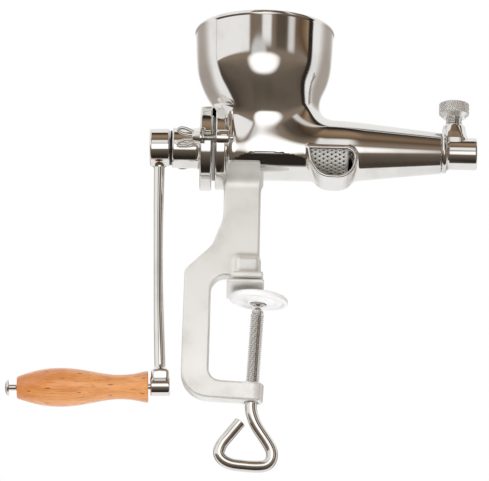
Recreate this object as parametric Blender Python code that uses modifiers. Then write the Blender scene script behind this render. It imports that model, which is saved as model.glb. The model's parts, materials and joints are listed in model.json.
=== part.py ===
"""Hand-cranked auger juicer with a table clamp.

Frame: the origin is the centre of the jaw pad's underside, which rests on the table top. +X runs
along the barrel to the pulp outlet, +Z is up, and the operator's near side is -Y. Sizes below are
in millimetres and become metres where objects are made.
"""

import math

import bmesh
import bpy
from mathutils import Matrix, Vector

MM = 0.001

# Barrel and hopper
BARREL_HEIGHT = 111.5
BARREL_RADIUS = 23.3
BARREL_REAR = -23.1
BARREL_TAPER_START = 75.0
BARREL_FRONT = 147.4
BARREL_FRONT_RADIUS = 15.4
BORE_RADIUS = 20.6
BORE_FRONT_RADIUS = 12.8
HOPPER_X = 12.4
HOPPER_TOP = 94.0
HOPPER_RADIUS = 53.2
HOPPER_WALL = 2.6
THROAT_RADIUS = 16.0

# Juice window: a collar that leads forwards from the barrel's side
WINDOW_X = 63.6
COLLAR_FRONT = -25.5
COLLAR_BACK = 8.0
COLLAR_WALL = 2.0
COLLAR_CORNERS = (
    (-17.6, -4.4, 1.2),
    (-16.0, -16.0, 10.0),
    (-8.0, -28.4, 14.0),
    (17.0, -28.8, 14.0),
    (21.0, -8.0, 9.0),
    (13.6, -4.4, 3.0),
)
SCREEN_RADIUS = 20.2
SCREEN_WALL = 0.8

# Rear end
STUD_OFFSET = 27.0
STUD_RADIUS = 2.4
LUG_RADIUS = 6.5
CAP_RADIUS = 32.0
CAP_FACE = -25.8
CAP_PLATE = 8.9
CAP_POCKET = 3.2
HOUSING_RADIUS = 15.2
HOUSING_REAR = -55.8
BUSH_RADIUS = 10.8
SHAFT_RADIUS = 8.0

# Nozzle and pressure screw
NOZZLE_RADIUS = 12.2
NOZZLE_END = 174.2
OUTLET_RADIUS = 8.6
PRESSURE_X = 157.0
BOSS_TOP = 22.0
PRESSURE_THREAD_RADIUS = 6.2
PRESSURE_HEAD_RADIUS = 11.5

# Crank
HUB_RADIUS = 14.3
HUB_FRONT = -57.7
HUB_REAR = -72.8
CRANK_LEAN = math.radians(1.5)
CRANK_RADIUS = 187.3
ARM_RADIUS = 4.0
EYE_RADIUS = 6.8
EYE_HALF_LENGTH = 7.1
GRIP_NEAR = -8.8
GRIP_LENGTH = 97.6
GRIP_BOLT_RADIUS = 2.4
END_PLAY = 5.7

# Clamp
FRAME_THICKNESS = 14.0
FRAME_EDGE = 1.6
SCREW_LEAN = math.radians(2.87)
BALL_CENTRE = (11.5, -9.9)
BALL_RADIUS = 3.0
CLAMP_THREAD_RADIUS = 5.0
ROD_RADIUS = 4.5
DISC_RADIUS = 21.9
DISC_LEAN = math.radians(4.8)

CLEARANCE = 0.3


# --- Scene and materials -------------------------------------------------------------------------

for old in list(bpy.data.objects):
    bpy.data.objects.remove(old, do_unlink=True)

juicer = bpy.data.collections.new("auger_juicer")
cutters = bpy.data.collections.new("cutters")
bpy.context.scene.collection.children.link(juicer)
bpy.context.scene.collection.children.link(cutters)


def make_material(name, colour, roughness, metallic):
    material = bpy.data.materials.new(name)
    material.use_nodes = True
    shader = material.node_tree.nodes["Principled BSDF"]
    shader.inputs["Base Color"].default_value = (*colour, 1)
    shader.inputs["Roughness"].default_value = roughness
    shader.inputs["Metallic"].default_value = metallic
    material.diffuse_color = (*colour, 1)
    return material


def polished(name):
    return make_material(name, (0.72, 0.71, 0.69), 0.08, 1.0)


def satin(name):
    return make_material(name, (0.66, 0.65, 0.62), 0.35, 1.0)


# --- Shape helpers -------------------------------------------------------------------------------


def add_object(name, data, material=None):
    """A new object, in the juicer's collection, or among the cutters if it has no material."""
    made = bpy.data.objects.new(name, data)
    if material:
        data.materials.append(material)
        juicer.objects.link(made)
    else:
        cutters.objects.link(made)
        made.hide_render = True
        made.display_type = "WIRE"
    return made


def turned(name, profile, material=None, steps=32, ring=False):
    """A turned solid about its own Z. The profile is (radius, height), top to bottom outside."""
    mesh = bpy.data.meshes.new(name)
    points = [(radius * MM, 0, height * MM) for radius, height in profile]
    edges = [(i, i + 1) for i in range(len(points) - 1)]
    if ring:
        edges.append((len(points) - 1, 0))
    mesh.from_pydata(points, edges, [])
    made = add_object(name, mesh, material)
    screw = made.modifiers.new("Turn", "SCREW")
    screw.steps = screw.render_steps = steps
    screw.use_merge_vertices = True
    screw.merge_threshold = 0.00001
    screw.use_smooth_shade = True
    return made


def loft(name, sections, material=None):
    """A closed solid through sections of equal size, with flat ends."""
    work = bmesh.new()
    rings = [[work.verts.new(p * MM) for p in section] for section in sections]
    size = len(rings[0])
    for a, b in zip(rings, rings[1:]):
        for i in range(size):
            j = (i + 1) % size
            work.faces.new((a[i], a[j], b[j], b[i]))
    work.faces.new(rings[0])
    work.faces.new(list(reversed(rings[-1])))
    bmesh.ops.recalc_face_normals(work, faces=work.faces)
    mesh = bpy.data.meshes.new(name)
    work.to_mesh(mesh)
    work.free()
    return add_object(name, mesh, material)


def sleeve_profile(outer, inner, top, bottom):
    return [(outer, top), (outer, bottom), (inner, bottom), (inner, top)]


def rod_profile(radius, top, bottom, chamfer=0.0):
    if not chamfer:
        return [(0, top), (radius, top), (radius, bottom), (0, bottom)]
    return [
        (0, top),
        (radius - chamfer, top),
        (radius, top - chamfer),
        (radius, bottom + chamfer),
        (radius - chamfer, bottom),
        (0, bottom),
    ]


def along_x(made, y=0.0, z=BARREL_HEIGHT):
    """Lays a turned solid down, so that its height runs along +X."""
    made.rotation_euler = (0, math.pi / 2, 0)
    made.location = (0, y * MM, z * MM)
    return made


def upright(made, x, y=0.0, z=0.0):
    made.location = (x * MM, y * MM, z * MM)
    return made


def rounded(corners, arc_steps=5):
    """Points of a closed outline whose corners, (x, z, radius), are rounded by arcs."""
    outline = []
    for i, (x, z, radius) in enumerate(corners):
        here = Vector((x, z))
        before = Vector(corners[i - 1][:2]) - here
        after = Vector(corners[(i + 1) % len(corners)][:2]) - here
        half = before.angle(after) / 2
        if radius <= 0:
            outline.append(here)
            continue
        inward = (before.normalized() + after.normalized()).normalized()
        centre = here + inward * radius / math.sin(half)
        start = here + before.normalized() * radius / math.tan(half) - centre
        end = here + after.normalized() * radius / math.tan(half) - centre
        for step in range(arc_steps + 1):
            outline.append(centre + start.slerp(end, step / arc_steps).normalized() * radius)
    return outline


def as_mesh(made, material=None):
    """Makes a curve object a mesh with welded caps, so that Booleans can use it."""
    graph = bpy.context.evaluated_depsgraph_get()
    mesh = bpy.data.meshes.new_from_object(made.evaluated_get(graph))
    work = bmesh.new()
    work.from_mesh(mesh)
    bmesh.ops.remove_doubles(work, verts=work.verts, dist=0.000001)
    bmesh.ops.recalc_face_normals(work, faces=work.faces)
    work.to_mesh(mesh)
    work.free()
    mesh.materials.clear()
    mesh.shade_smooth()
    mesh.set_sharp_from_angle(angle=math.radians(35))
    name = made.name
    old = made.data
    bpy.data.objects.remove(made)
    bpy.data.curves.remove(old)
    return add_object(name, mesh, material)


def plate(name, outline, y_front, y_back, edge=0.0, material=None):
    """A flat outline in the XZ plane, from y_front to y_back, with its edges rounded by edge."""
    curve = bpy.data.curves.new(name, "CURVE")
    curve.dimensions = "2D"
    curve.fill_mode = "BOTH"
    curve.extrude = (y_back - y_front) / 2 * MM
    spline = curve.splines.new("POLY")
    spline.points.add(len(outline) - 1)
    for point, (x, z) in zip(spline.points, outline):
        point.co = (x * MM, z * MM, 0, 1)
    spline.use_cyclic_u = True
    made = bpy.data.objects.new(name, curve)
    cutters.objects.link(made)
    made = as_mesh(made, material)
    made.rotation_euler = (math.pi / 2, 0, 0)
    made.location = (0, (y_front + y_back) / 2 * MM, 0)
    if edge:
        round_edges(made, edge)
    return made


def round_edges(made, width):
    rounding = made.modifiers.new("Edges", "BEVEL")
    rounding.width = width * MM
    rounding.segments = 2
    rounding.limit_method = "ANGLE"
    rounding.angle_limit = math.radians(40)


def wire(name, points, radius, radii=None, sides=2, material=None, cyclic=False):
    """A round wire along points; radii scale its radius at each one."""
    curve = bpy.data.curves.new(name, "CURVE")
    curve.dimensions = "3D"
    curve.bevel_depth = radius * MM
    curve.bevel_resolution = sides
    curve.use_fill_caps = True
    spline = curve.splines.new("POLY")
    spline.points.add(len(points) - 1)
    for i, place in enumerate(points):
        spline.points[i].co = (*(Vector(place) * MM), 1)
        if radii:
            spline.points[i].radius = radii[i] / radius
    spline.use_cyclic_u = cyclic
    made = bpy.data.objects.new(name, curve)
    cutters.objects.link(made)
    return as_mesh(made, material)


def smooth_path(points, per_span=4):
    """Catmull-Rom points through a route."""
    places = [Vector(p) for p in points]
    places = [2 * places[0] - places[1]] + places + [2 * places[-1] - places[-2]]
    path = []
    for i in range(1, len(places) - 2):
        a, b, c, d = places[i - 1 : i + 3]
        for step in range(per_span):
            t = step / per_span
            path.append(
                0.5
                * (
                    2 * b
                    + (c - a) * t
                    + (2 * a - 5 * b + 4 * c - d) * t**2
                    + (3 * b - a - 3 * c + d) * t**3
                )
            )
    return path + [places[-2]]


def block(name, low, high, material=None, bevel=0.0):
    mesh = bpy.data.meshes.new(name)
    work = bmesh.new()
    bmesh.ops.create_cube(work, size=1)
    size = Vector(high) - Vector(low)
    bmesh.ops.scale(work, vec=size * MM, verts=work.verts)
    work.to_mesh(mesh)
    work.free()
    made = add_object(name, mesh, material)
    made.location = (Vector(low) + Vector(high)) / 2 * MM
    if bevel:
        round_edges(made, bevel)
    return made


def combine(made, operation, others):
    """Joins or cuts. The manifold solver closes the coaxial turned forms that the exact one leaves open."""
    for other in others:
        step = made.modifiers.new(operation.title(), "BOOLEAN")
        step.operation = operation
        step.solver = "MANIFOLD"
        step.object = other
    return made


def join(made, *others):
    return combine(made, "UNION", others)


def cut(made, *others):
    return combine(made, "DIFFERENCE", others)


# --- Body casting --------------------------------------------------------------------------------

HOPPER_OUTSIDE = (
    (HOPPER_TOP, HOPPER_RADIUS - 0.7, HOPPER_RADIUS - 0.7, HOPPER_RADIUS - 0.7),
    (HOPPER_TOP - 1.0, HOPPER_RADIUS, HOPPER_RADIUS, HOPPER_RADIUS),
    (HOPPER_TOP - 2.6, HOPPER_RADIUS, HOPPER_RADIUS, HOPPER_RADIUS),
    (HOPPER_TOP - 4.0, HOPPER_RADIUS - 0.9, HOPPER_RADIUS - 0.9, HOPPER_RADIUS - 0.9),
    (83.6, 52.1, 52.1, 52.1),
    (66.4, 51.0, 51.0, 51.0),
    (57.0, 49.4, 49.4, 49.4),
    (49.0, 46.8, 46.8, 46.8),
    (42.0, 43.5, 43.9, 43.4),
    (35.5, 40.0, 42.5, 39.2),
    (29.0, 36.3, 42.0, 34.6),
    (24.0, 33.8, 44.5, 30.8),
    (18.0, 31.0, 46.0, 27.4),
    (9.0, 27.6, 46.0, 24.6),
    (0.0, 24.6, 44.0, 23.2),
)
HOPPER_INSIDE = (
    (HOPPER_RADIUS - HOPPER_WALL, HOPPER_TOP + 2.0),
    (HOPPER_RADIUS - HOPPER_WALL - 0.8, HOPPER_TOP - 4.0),
    (48.4, 66.4),
    (46.7, 57.0),
    (44.0, 49.8),
    (40.9, 43.2),
    (37.6, 37.4),
    (32.6, 31.4),
    (26.0, 26.0),
    (19.0, 21.0),
    (THROAT_RADIUS, 16.0),
    (THROAT_RADIUS, 4.0),
)


def collar_outline(inset=0.0):
    """The window collar's U shape, and its inside when inset is its wall."""
    middle = Vector((1.0, -15.0))
    corners = []
    for x, z, radius in COLLAR_CORNERS:
        spoke = Vector((x, z)) - middle
        place = middle + spoke * (1 - inset * 1.12 / spoke.length)
        corners.append((place.x, place.y, max(radius - inset, 0.8)))
    return [(p.x + WINDOW_X, p.y + BARREL_HEIGHT) for p in rounded(corners, 4)]


def hopper_sections(steps=40):
    """The hopper's outside: rings of (height, side, right, left), longer to the right at its foot."""
    sections = []
    for height, side, right, left in HOPPER_OUTSIDE:
        ring = []
        for i in range(steps):
            angle = 2 * math.pi * i / steps
            across = math.cos(angle)
            ring.append(Vector(((right if across > 0 else left) * across, side * math.sin(angle), height)))
        sections.append(ring)
    return sections


def body_casting():
    material = polished("body_casting")
    body = loft("body_casting", hopper_sections(), material)
    upright(body, HOPPER_X, 0, BARREL_HEIGHT)
    barrel = turned(
        "barrel_form",
        [
            (0, BARREL_FRONT),
            (BARREL_FRONT_RADIUS, BARREL_FRONT),
            (BARREL_RADIUS, BARREL_TAPER_START),
            (BARREL_RADIUS, -8.0),
            (25.5, -11.5),
            (31.0, -14.5),
            (31.0, BARREL_REAR),
            (0, BARREL_REAR),
        ],
    )
    lug_profile = rod_profile(LUG_RADIUS, -12.6, BARREL_REAR)
    lugs = [along_x(turned("lug_form", lug_profile, steps=24), side * STUD_OFFSET) for side in (-1, 1)]
    collar = plate("collar_form", collar_outline(), COLLAR_FRONT, COLLAR_BACK)
    join(body, along_x(barrel), *lugs, collar)

    bowl_profile = [(0, HOPPER_INSIDE[0][1]), *HOPPER_INSIDE, (0, HOPPER_INSIDE[-1][1])]
    bowl = turned("bowl_space", bowl_profile, steps=40)
    bore = turned(
        "bore_space",
        [
            (0, BARREL_FRONT + 3),
            (BORE_FRONT_RADIUS - 0.3, BARREL_FRONT + 3),
            (BORE_RADIUS, BARREL_TAPER_START + 5),
            (BORE_RADIUS, BARREL_REAR - 3),
            (0, BARREL_REAR - 3),
        ],
    )
    window = plate("window_space", collar_outline(COLLAR_WALL), COLLAR_FRONT - 5, -6.0)
    hole_profile = rod_profile(STUD_RADIUS + CLEARANCE, -5, -30)
    stud_holes = [
        along_x(turned("stud_hole", hole_profile, steps=16), side * STUD_OFFSET) for side in (-1, 1)
    ]
    upright(bowl, HOPPER_X, 0, BARREL_HEIGHT)
    cut(body, bowl, along_x(bore), window, *stud_holes)


# --- Nozzle, screen and pressure screw ------------------------------------------------------------


def nozzle_end():
    material = polished("nozzle_end")
    start = BARREL_FRONT + CLEARANCE
    nozzle = turned(
        "nozzle_end",
        [
            (0, NOZZLE_END),
            (NOZZLE_RADIUS - 0.8, NOZZLE_END),
            (NOZZLE_RADIUS, NOZZLE_END - 0.8),
            (NOZZLE_RADIUS, start + 4.6),
            (NOZZLE_RADIUS + 1.4, start + 3.4),
            (NOZZLE_RADIUS + 1.4, start),
            (0, start),
        ],
        material,
        steps=28,
    )
    along_x(nozzle)
    boss = turned("boss_form", [(0, BOSS_TOP), (8.2, BOSS_TOP), (9.2, 15.0), (9.2, 4), (0, 4)], steps=32)
    outlet = turned("outlet_space", rod_profile(OUTLET_RADIUS, NOZZLE_END + 3, start - 3), steps=32)
    tapped_profile = rod_profile(PRESSURE_THREAD_RADIUS + CLEARANCE, BOSS_TOP + 3, 2)
    tapped = turned("pressure_hole", tapped_profile, steps=24)
    join(nozzle, upright(boss, PRESSURE_X, 0, BARREL_HEIGHT))
    cut(nozzle, along_x(outlet), upright(tapped, PRESSURE_X, 0, BARREL_HEIGHT))


def adjusting_screw():
    reach = 10.5
    head = PRESSURE_HEAD_RADIUS
    screw = turned(
        "adjusting_screw",
        [
            (0, 40.6),
            (head * 0.6, 40.3),
            (head - 1.0, 39.7),
            (head, 38.9),
            (head, 31.0),
            (7.6, 27.9),
            (PRESSURE_THREAD_RADIUS, 27.9),
            (PRESSURE_THREAD_RADIUS, reach + 1),
            (PRESSURE_THREAD_RADIUS - 1, reach),
            (2.1, reach),
            (2.1, reach + 6),
            (0, reach + 6),
        ],
        polished("adjusting_screw"),
        steps=32,
    )
    upright(screw, PRESSURE_X, 0, BARREL_HEIGHT)
    pin = turned(
        "pressure_pin",
        [
            (0, reach + 5.6),
            (1.8, reach + 5.6),
            (1.8, reach - 0.4),
            (5.8, reach - 0.4),
            (5.8, 8.0),
            (4.8, 7.0),
            (0, 7.0),
        ],
        polished("pressure_pin"),
        steps=24,
    )
    upright(pin, PRESSURE_X, 0, BARREL_HEIGHT)


def juice_screen():
    inner = SCREEN_RADIUS - SCREEN_WALL
    screen = turned(
        "juice_screen",
        sleeve_profile(SCREEN_RADIUS, inner, WINDOW_X + 13.4, WINDOW_X - 24),
        satin("juice_screen"),
        ring=True,
    )
    along_x(screen)


# --- Auger ---------------------------------------------------------------------------------------


def flight_sections(turns=6.5, per_turn=14):
    """Four-cornered sections of the auger's flight, whose pitch and radius shrink forwards."""
    sections = []
    count = int(turns * per_turn)
    start, end = -19.0, 141.0
    for i in range(count + 1):
        t = i / count
        x = start + (end - start) * (1.28 * t - 0.28 * t * t)
        angle = t * turns * 2 * math.pi
        taper = max(0.0, (x - BARREL_TAPER_START) / (BARREL_FRONT - BARREL_TAPER_START))
        outer = 18.6 - 7.6 * taper
        thickness = 2.6 - 1.0 * t
        outward = Vector((0, math.cos(angle), math.sin(angle)))
        centre = Vector((x, 0, BARREL_HEIGHT))
        lean = Vector((thickness / 2, 0, 0))
        sections.append(
            [
                centre - lean * 1.5 + outward * 6.5,
                centre + lean * 1.5 + outward * 6.5,
                centre + lean + outward * outer,
                centre - lean + outward * outer,
            ]
        )
    return sections


def auger():
    core = turned(
        "auger",
        [
            (0, 150.0),
            (3.6, 150.0),
            (5.4, 146.0),
            (9.6, 80.0),
            (9.6, -16.0),
            (17.8, -19.5),
            (17.8, -22.5),
            (SHAFT_RADIUS, -24.5),
            (SHAFT_RADIUS, -69.4),
            (0, -69.4),
        ],
        polished("auger"),
        steps=32,
    )
    along_x(core)
    join(core, loft("flight_form", flight_sections()))
    socket = turned("screw_socket", rod_profile(2.8, -60.0, -72.0), steps=16)
    cut(core, along_x(socket))


# --- Rear cap, seal and studs ---------------------------------------------------------------------


def rear_cap():
    back = CAP_FACE - CAP_PLATE
    cap = turned(
        "rear_cap",
        [
            (0, CAP_FACE),
            (CAP_RADIUS - 1, CAP_FACE),
            (CAP_RADIUS, CAP_FACE - 1),
            (CAP_RADIUS, CAP_FACE - 4),
            (CAP_RADIUS - 0.4, back + 1.2),
            (CAP_RADIUS - 1.4, back),
            (18.5, back),
            (16.0, back - 1.4),
            (HOUSING_RADIUS, back - 3.4),
            (HOUSING_RADIUS, HOUSING_REAR + 1.5),
            (HOUSING_RADIUS - 1.5, HOUSING_REAR),
            (0, HOUSING_REAR),
        ],
        polished("rear_cap"),
    )
    along_x(cap)
    bore_profile = rod_profile(BUSH_RADIUS + CLEARANCE, CAP_FACE + 3, HOUSING_REAR - 3)
    bore = turned("bush_space", bore_profile, steps=32)
    slots = []
    half = STUD_RADIUS + 0.9
    for side in (-1, 1):
        outline = rounded(
            [(-half, -half, half - 0.05), (half, -half, half - 0.05), (half, 12, 0), (-half, 12, 0)], 6
        )
        slot = plate("stud_slot", [(p.x, p.y) for p in outline], -6, 6)
        slot.matrix_world = (
            Matrix.Translation(Vector((back + CAP_PLATE / 2, side * STUD_OFFSET, BARREL_HEIGHT)) * MM)
            @ Matrix.Rotation(math.radians(-90 * side), 4, "X")
            @ Matrix.Rotation(math.pi / 2, 4, "Z")
            @ Matrix.Rotation(math.pi / 2, 4, "X")
        )
        slots.append(slot)
    pocket_profile = rod_profile(7.0, back + CAP_POCKET, back - 3)
    pockets = [
        along_x(turned("nut_pocket", pocket_profile, steps=28), side * STUD_OFFSET) for side in (-1, 1)
    ]
    cut(cap, along_x(bore), *slots, *pockets)


def seal_ring():
    ring = turned(
        "seal_ring",
        sleeve_profile(24.2, 21.2, BARREL_REAR - CLEARANCE, CAP_FACE + CLEARANCE),
        make_material("seal_ring", (0.75, 0.75, 0.73), 0.45, 0.0),
        ring=True,
    )
    along_x(ring)


def shaft_bush():
    inner = SHAFT_RADIUS + CLEARANCE
    top, lip = CAP_FACE - 4, HOUSING_REAR - CLEARANCE
    bush = turned(
        "shaft_bush",
        [
            (BUSH_RADIUS, top),
            (BUSH_RADIUS, lip),
            (13.2, lip),
            (13.2, lip - 1.3),
            (inner, lip - 1.3),
            (inner, top),
        ],
        make_material("shaft_bush", (0.02, 0.02, 0.02), 0.5, 0.0),
        steps=28,
        ring=True,
    )
    along_x(bush)


def wing_loop(side):
    """One looped wing of a wing nut, in the nut's own frame: its height runs towards the cap."""
    return smooth_path(
        [
            (side * 1.6, 0, -5.0),
            (side * 2.0, 0, -11.0),
            (side * 3.4, 0, -15.2),
            (side * 5.4, 0, -16.8),
            (side * 7.0, 0, -15.0),
            (side * 6.8, 0, -11.0),
            (side * 4.8, 0, -6.6),
            (side * 3.2, 0, -3.4),
        ],
        2,
    )


def fixing(label, side):
    """The stud, washer and wing nut on one side."""
    y = side * STUD_OFFSET
    back = CAP_FACE - CAP_PLATE + CAP_POCKET
    stud = turned(
        f"stud_{label}", rod_profile(STUD_RADIUS, -9.6, -40.6, 0.5), polished(f"stud_{label}"), steps=16
    )
    along_x(stud, y)
    washer = turned(
        f"washer_{label}",
        sleeve_profile(5.6, STUD_RADIUS + CLEARANCE, back - CLEARANCE, back - CLEARANCE - 1.2),
        polished(f"washer_{label}"),
        steps=24,
        ring=True,
    )
    along_x(washer, y)
    front = back - 2 * CLEARANCE - 1.2
    nut = turned(
        f"wing_nut_{label}",
        [
            (5.4, front),
            (5.4, front - 1.6),
            (4.3, front - 6.0),
            (4.0, front - 7.4),
            (STUD_RADIUS + CLEARANCE, front - 7.4),
            (STUD_RADIUS + CLEARANCE, front),
        ],
        polished(f"wing_nut_{label}"),
        steps=20,
        ring=True,
    )
    along_x(nut, y)
    for wing in (-1, 1):
        loop = wire(f"wing_{label}", wing_loop(wing), 1.3, sides=1)
        centre = Vector((front - 1.5, y, BARREL_HEIGHT)) * MM
        loop.matrix_world = Matrix.Translation(centre) @ Matrix.Rotation(math.pi / 2, 4, "Y")
        join(nut, loop)
    hole = turned("nut_hole", rod_profile(STUD_RADIUS + CLEARANCE, front + 2, front - 12), steps=20)
    cut(nut, along_x(hole, y))


# --- Crank and grip ------------------------------------------------------------------------------


def crank():
    centre_x = (HUB_FRONT + HUB_REAR) / 2
    pivot = bpy.data.objects.new("crank_pivot", None)
    pivot.location = Vector((centre_x, 0, BARREL_HEIGHT)) * MM
    pivot.rotation_euler = (0, -CRANK_LEAN, 0)
    juicer.objects.link(pivot)

    def hang(made, local):
        made.parent = pivot
        made.matrix_local = local
        return made

    def lie(made):
        turned_along = Matrix.Rotation(math.pi / 2, 4, "Y")
        return hang(made, Matrix.Translation((0, 0, -CRANK_RADIUS * MM)) @ turned_along)

    half = (HUB_FRONT - HUB_REAR) / 2
    hub = turned(
        "crank_hub",
        [
            (0, half),
            (HUB_RADIUS - 1.2, half),
            (HUB_RADIUS, half - 1.2),
            (HUB_RADIUS, 1.2 - half),
            (HUB_RADIUS - 1.2, -half),
            (0, -half),
        ],
        polished("crank_hub"),
    )
    along_x(hub)
    hub.location.x = centre_x * MM
    shaft_hole = turned("shaft_hole", rod_profile(SHAFT_RADIUS + CLEARANCE, HUB_FRONT + 3, -69.7), steps=32)
    head_hole = turned("head_hole", rod_profile(5.3, -68.0, -76.0), steps=24)
    arm_hole = turned("arm_hole", rod_profile(ARM_RADIUS + CLEARANCE, -11.0, -18.0), steps=24)
    hang(arm_hole, Matrix())
    cut(hub, along_x(shaft_hole), along_x(head_hole), arm_hole)

    screw = turned(
        "crank_screw",
        [(0, -70.0), (5.0, -70.0), (5.0, -72.0), (4.0, -72.8), (0, -72.8)],
        polished("crank_screw"),
        steps=20,
    )
    along_x(screw)
    shank = turned("shank_form", rod_profile(2.5, -61.0, -70.5), steps=16)
    join(screw, along_x(shank))

    bow = 1.3
    arm_top, arm_foot = -11.6, -(CRANK_RADIUS - 10.4)
    route = []
    for i in range(17):
        t = i / 16
        route.append((-bow * math.sin(math.pi * t), 0, arm_top + (arm_foot - arm_top) * t))
    hang(wire("crank_arm", route, ARM_RADIUS, sides=4, material=polished("crank_arm")), Matrix())

    eye = turned(
        "crank_eye",
        rod_profile(EYE_RADIUS, EYE_HALF_LENGTH, -EYE_HALF_LENGTH, 0.8),
        polished("crank_eye"),
        steps=32,
    )
    lie(eye)
    top = block("eye_block_form", (-6.8, -6.0, -4.5), (6.8, 6.0, 4.5), bevel=1.5)
    hang(top, Matrix.Translation((0, 0, -(CRANK_RADIUS - 9.0) * MM)))
    foot_profile = rod_profile(ARM_RADIUS + CLEARANCE, arm_foot + 8, arm_foot - CLEARANCE)
    foot_hole = turned("foot_hole", foot_profile, steps=24)
    hang(foot_hole, Matrix())
    bolt_hole = turned("bolt_hole", rod_profile(GRIP_BOLT_RADIUS + CLEARANCE, 12, -12), steps=20)
    join(eye, top)
    cut(eye, foot_hole, lie(bolt_hole))

    far = GRIP_NEAR - GRIP_LENGTH
    head = far - END_PLAY - CLEARANCE
    bolt = turned(
        "grip_bolt",
        [
            (0, EYE_HALF_LENGTH),
            (GRIP_BOLT_RADIUS, EYE_HALF_LENGTH),
            (GRIP_BOLT_RADIUS, head),
            (6.2, head),
            (6.2, head - 1.0),
            (5.0, head - 2.2),
            (3.0, head - 2.9),
            (0, head - 3.2),
        ],
        polished("grip_bolt"),
        steps=24,
    )
    lie(bolt)
    sleeve = turned(
        "grip_sleeve",
        sleeve_profile(3.6, GRIP_BOLT_RADIUS + CLEARANCE, GRIP_NEAR - 0.4, far + 0.4),
        satin("grip_sleeve"),
        steps=24,
        ring=True,
    )
    lie(sleeve)
    hole = 3.6 + CLEARANCE
    grip = turned(
        "grip",
        [
            (hole, GRIP_NEAR),
            (10.9, GRIP_NEAR),
            (11.8, GRIP_NEAR - 1.0),
            (11.7, GRIP_NEAR - 3.0),
            (10.4, GRIP_NEAR - 8.0),
            (9.3, GRIP_NEAR - 15.0),
            (9.1, GRIP_NEAR - 23.0),
            (10.2, GRIP_NEAR - 33.0),
            (12.3, GRIP_NEAR - 44.0),
            (14.0, GRIP_NEAR - 55.0),
            (14.5, GRIP_NEAR - 64.0),
            (14.0, GRIP_NEAR - 74.0),
            (12.6, GRIP_NEAR - 84.0),
            (10.4, GRIP_NEAR - 92.5),
            (8.6, GRIP_NEAR - 96.4),
            (7.4, GRIP_NEAR - GRIP_LENGTH),
            (hole, GRIP_NEAR - GRIP_LENGTH),
        ],
        make_material("grip", (0.55, 0.25, 0.09), 0.3, 0.0),
        steps=24,
        ring=True,
    )
    lie(grip)


# --- Clamp ---------------------------------------------------------------------------------------


def clamp_frame():
    half = FRAME_THICKNESS / 2
    outline = rounded(
        [
            (-16.0, 96.0, 0),
            (-16.0, 55.0, 20),
            (-24.0, 34.0, 12),
            (-44.2, 14.5, 5),
            (-45.4, -84.0, 21),
            (14.0, -86.4, 2),
            (14.6, -72.4, 2),
            (-24.6, -70.4, 9),
            (-24.2, 10.2, 11),
            (11.7, 10.2, 0),
            (11.7, 96.0, 0),
        ],
        5,
    )
    frame = plate(
        "clamp_frame",
        [(p.x, p.y) for p in outline],
        -half,
        half,
        edge=FRAME_EDGE,
        material=satin("clamp_frame"),
    )
    jaw = block("jaw_form", (-6.0, -15.0, 8.0), (11.7, 15.0, 24.0), bevel=3.0)
    flange = block("flange_form", (-12.0, -22.5, 4.4), (14.6, 22.5, 9.2), bevel=1.2)
    screw_boss = upright(turned("screw_boss_form", rod_profile(8.6, 6.8, -6.8), steps=32), 8.4, 0, -79.2)
    screw_boss.rotation_euler = (0, SCREW_LEAN, 0)
    join(frame, jaw, flange, screw_boss)
    saddle = turned("saddle_space", rod_profile(BARREL_RADIUS + CLEARANCE, 60, -60))
    saddle_flange = turned(
        "saddle_flange_space",
        [(0, -7.7), (BARREL_RADIUS + CLEARANCE, -7.7), (31.4, -14.0), (31.4, -60), (0, -60)],
    )
    tapped = turned("clamp_hole", rod_profile(CLAMP_THREAD_RADIUS + CLEARANCE, -50, -90), steps=32)
    tapped.rotation_euler = (0, SCREW_LEAN, 0)
    tapped.location = Vector((BALL_CENTRE[0], 0, BALL_CENTRE[1])) * MM
    cut(frame, along_x(saddle), along_x(saddle_flange), tapped)


def jaw_pad():
    pad = block("jaw_pad", (-12.4, -23.0, 0.0), (15.4, 23.0, 2.7), satin("jaw_pad"), bevel=1.0)
    land = block("land_form", (-9.0, -19.0, 1.5), (12.0, 19.0, 4.1))
    join(pad, land)


def clamp_screw():
    """Ball, neck, collar and thread run along the leaning axis, then the rod bends into its loop."""
    down = Vector((-math.sin(SCREW_LEAN), 0, -math.cos(SCREW_LEAN)))
    ball = Vector((BALL_CENTRE[0], 0, BALL_CENTRE[1]))
    stations = [
        (-BALL_RADIUS, 0.9),
        (-2.4, 1.9),
        (-1.2, 2.75),
        (0.0, BALL_RADIUS),
        (1.2, 2.75),
        (2.4, 1.9),
        (3.6, 1.9),
        (5.6, 4.4),
        (7.4, 4.4),
        (7.8, 3.9),
        (8.4, 3.9),
        (9.0, CLAMP_THREAD_RADIUS),
        (30.0, CLAMP_THREAD_RADIUS),
        (66.0, CLAMP_THREAD_RADIUS),
        (66.6, ROD_RADIUS),
        (76.0, ROD_RADIUS),
    ]
    points = [ball + down * reach for reach, _ in stations]
    radii = [radius for _, radius in stations]
    loop = smooth_path(
        [
            ball + down * 80.0,
            (8.6, 0, -96.0),
            (12.1, 0, -104.4),
            (20.4, 0, -117.0),
            (23.6, 0, -123.6),
            (23.3, 0, -129.8),
            (19.6, 0, -134.2),
            (13.0, 0, -135.6),
            (4.0, 0, -135.2),
            (-6.0, 0, -133.8),
            (-12.4, 0, -130.6),
            (-15.4, 0, -125.4),
            (-13.6, 0, -118.8),
            (-8.2, 0, -111.6),
            (-0.4, 0, -101.6),
        ],
        3,
    )
    points += loop
    radii += [ROD_RADIUS] * len(loop)
    wire("clamp_screw", points, ROD_RADIUS, radii, sides=3, material=polished("clamp_screw"))


def on_ball(made, lean):
    made.location = Vector((BALL_CENTRE[0], 0, BALL_CENTRE[1])) * MM
    made.rotation_euler = (0, lean, 0)
    return made


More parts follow.
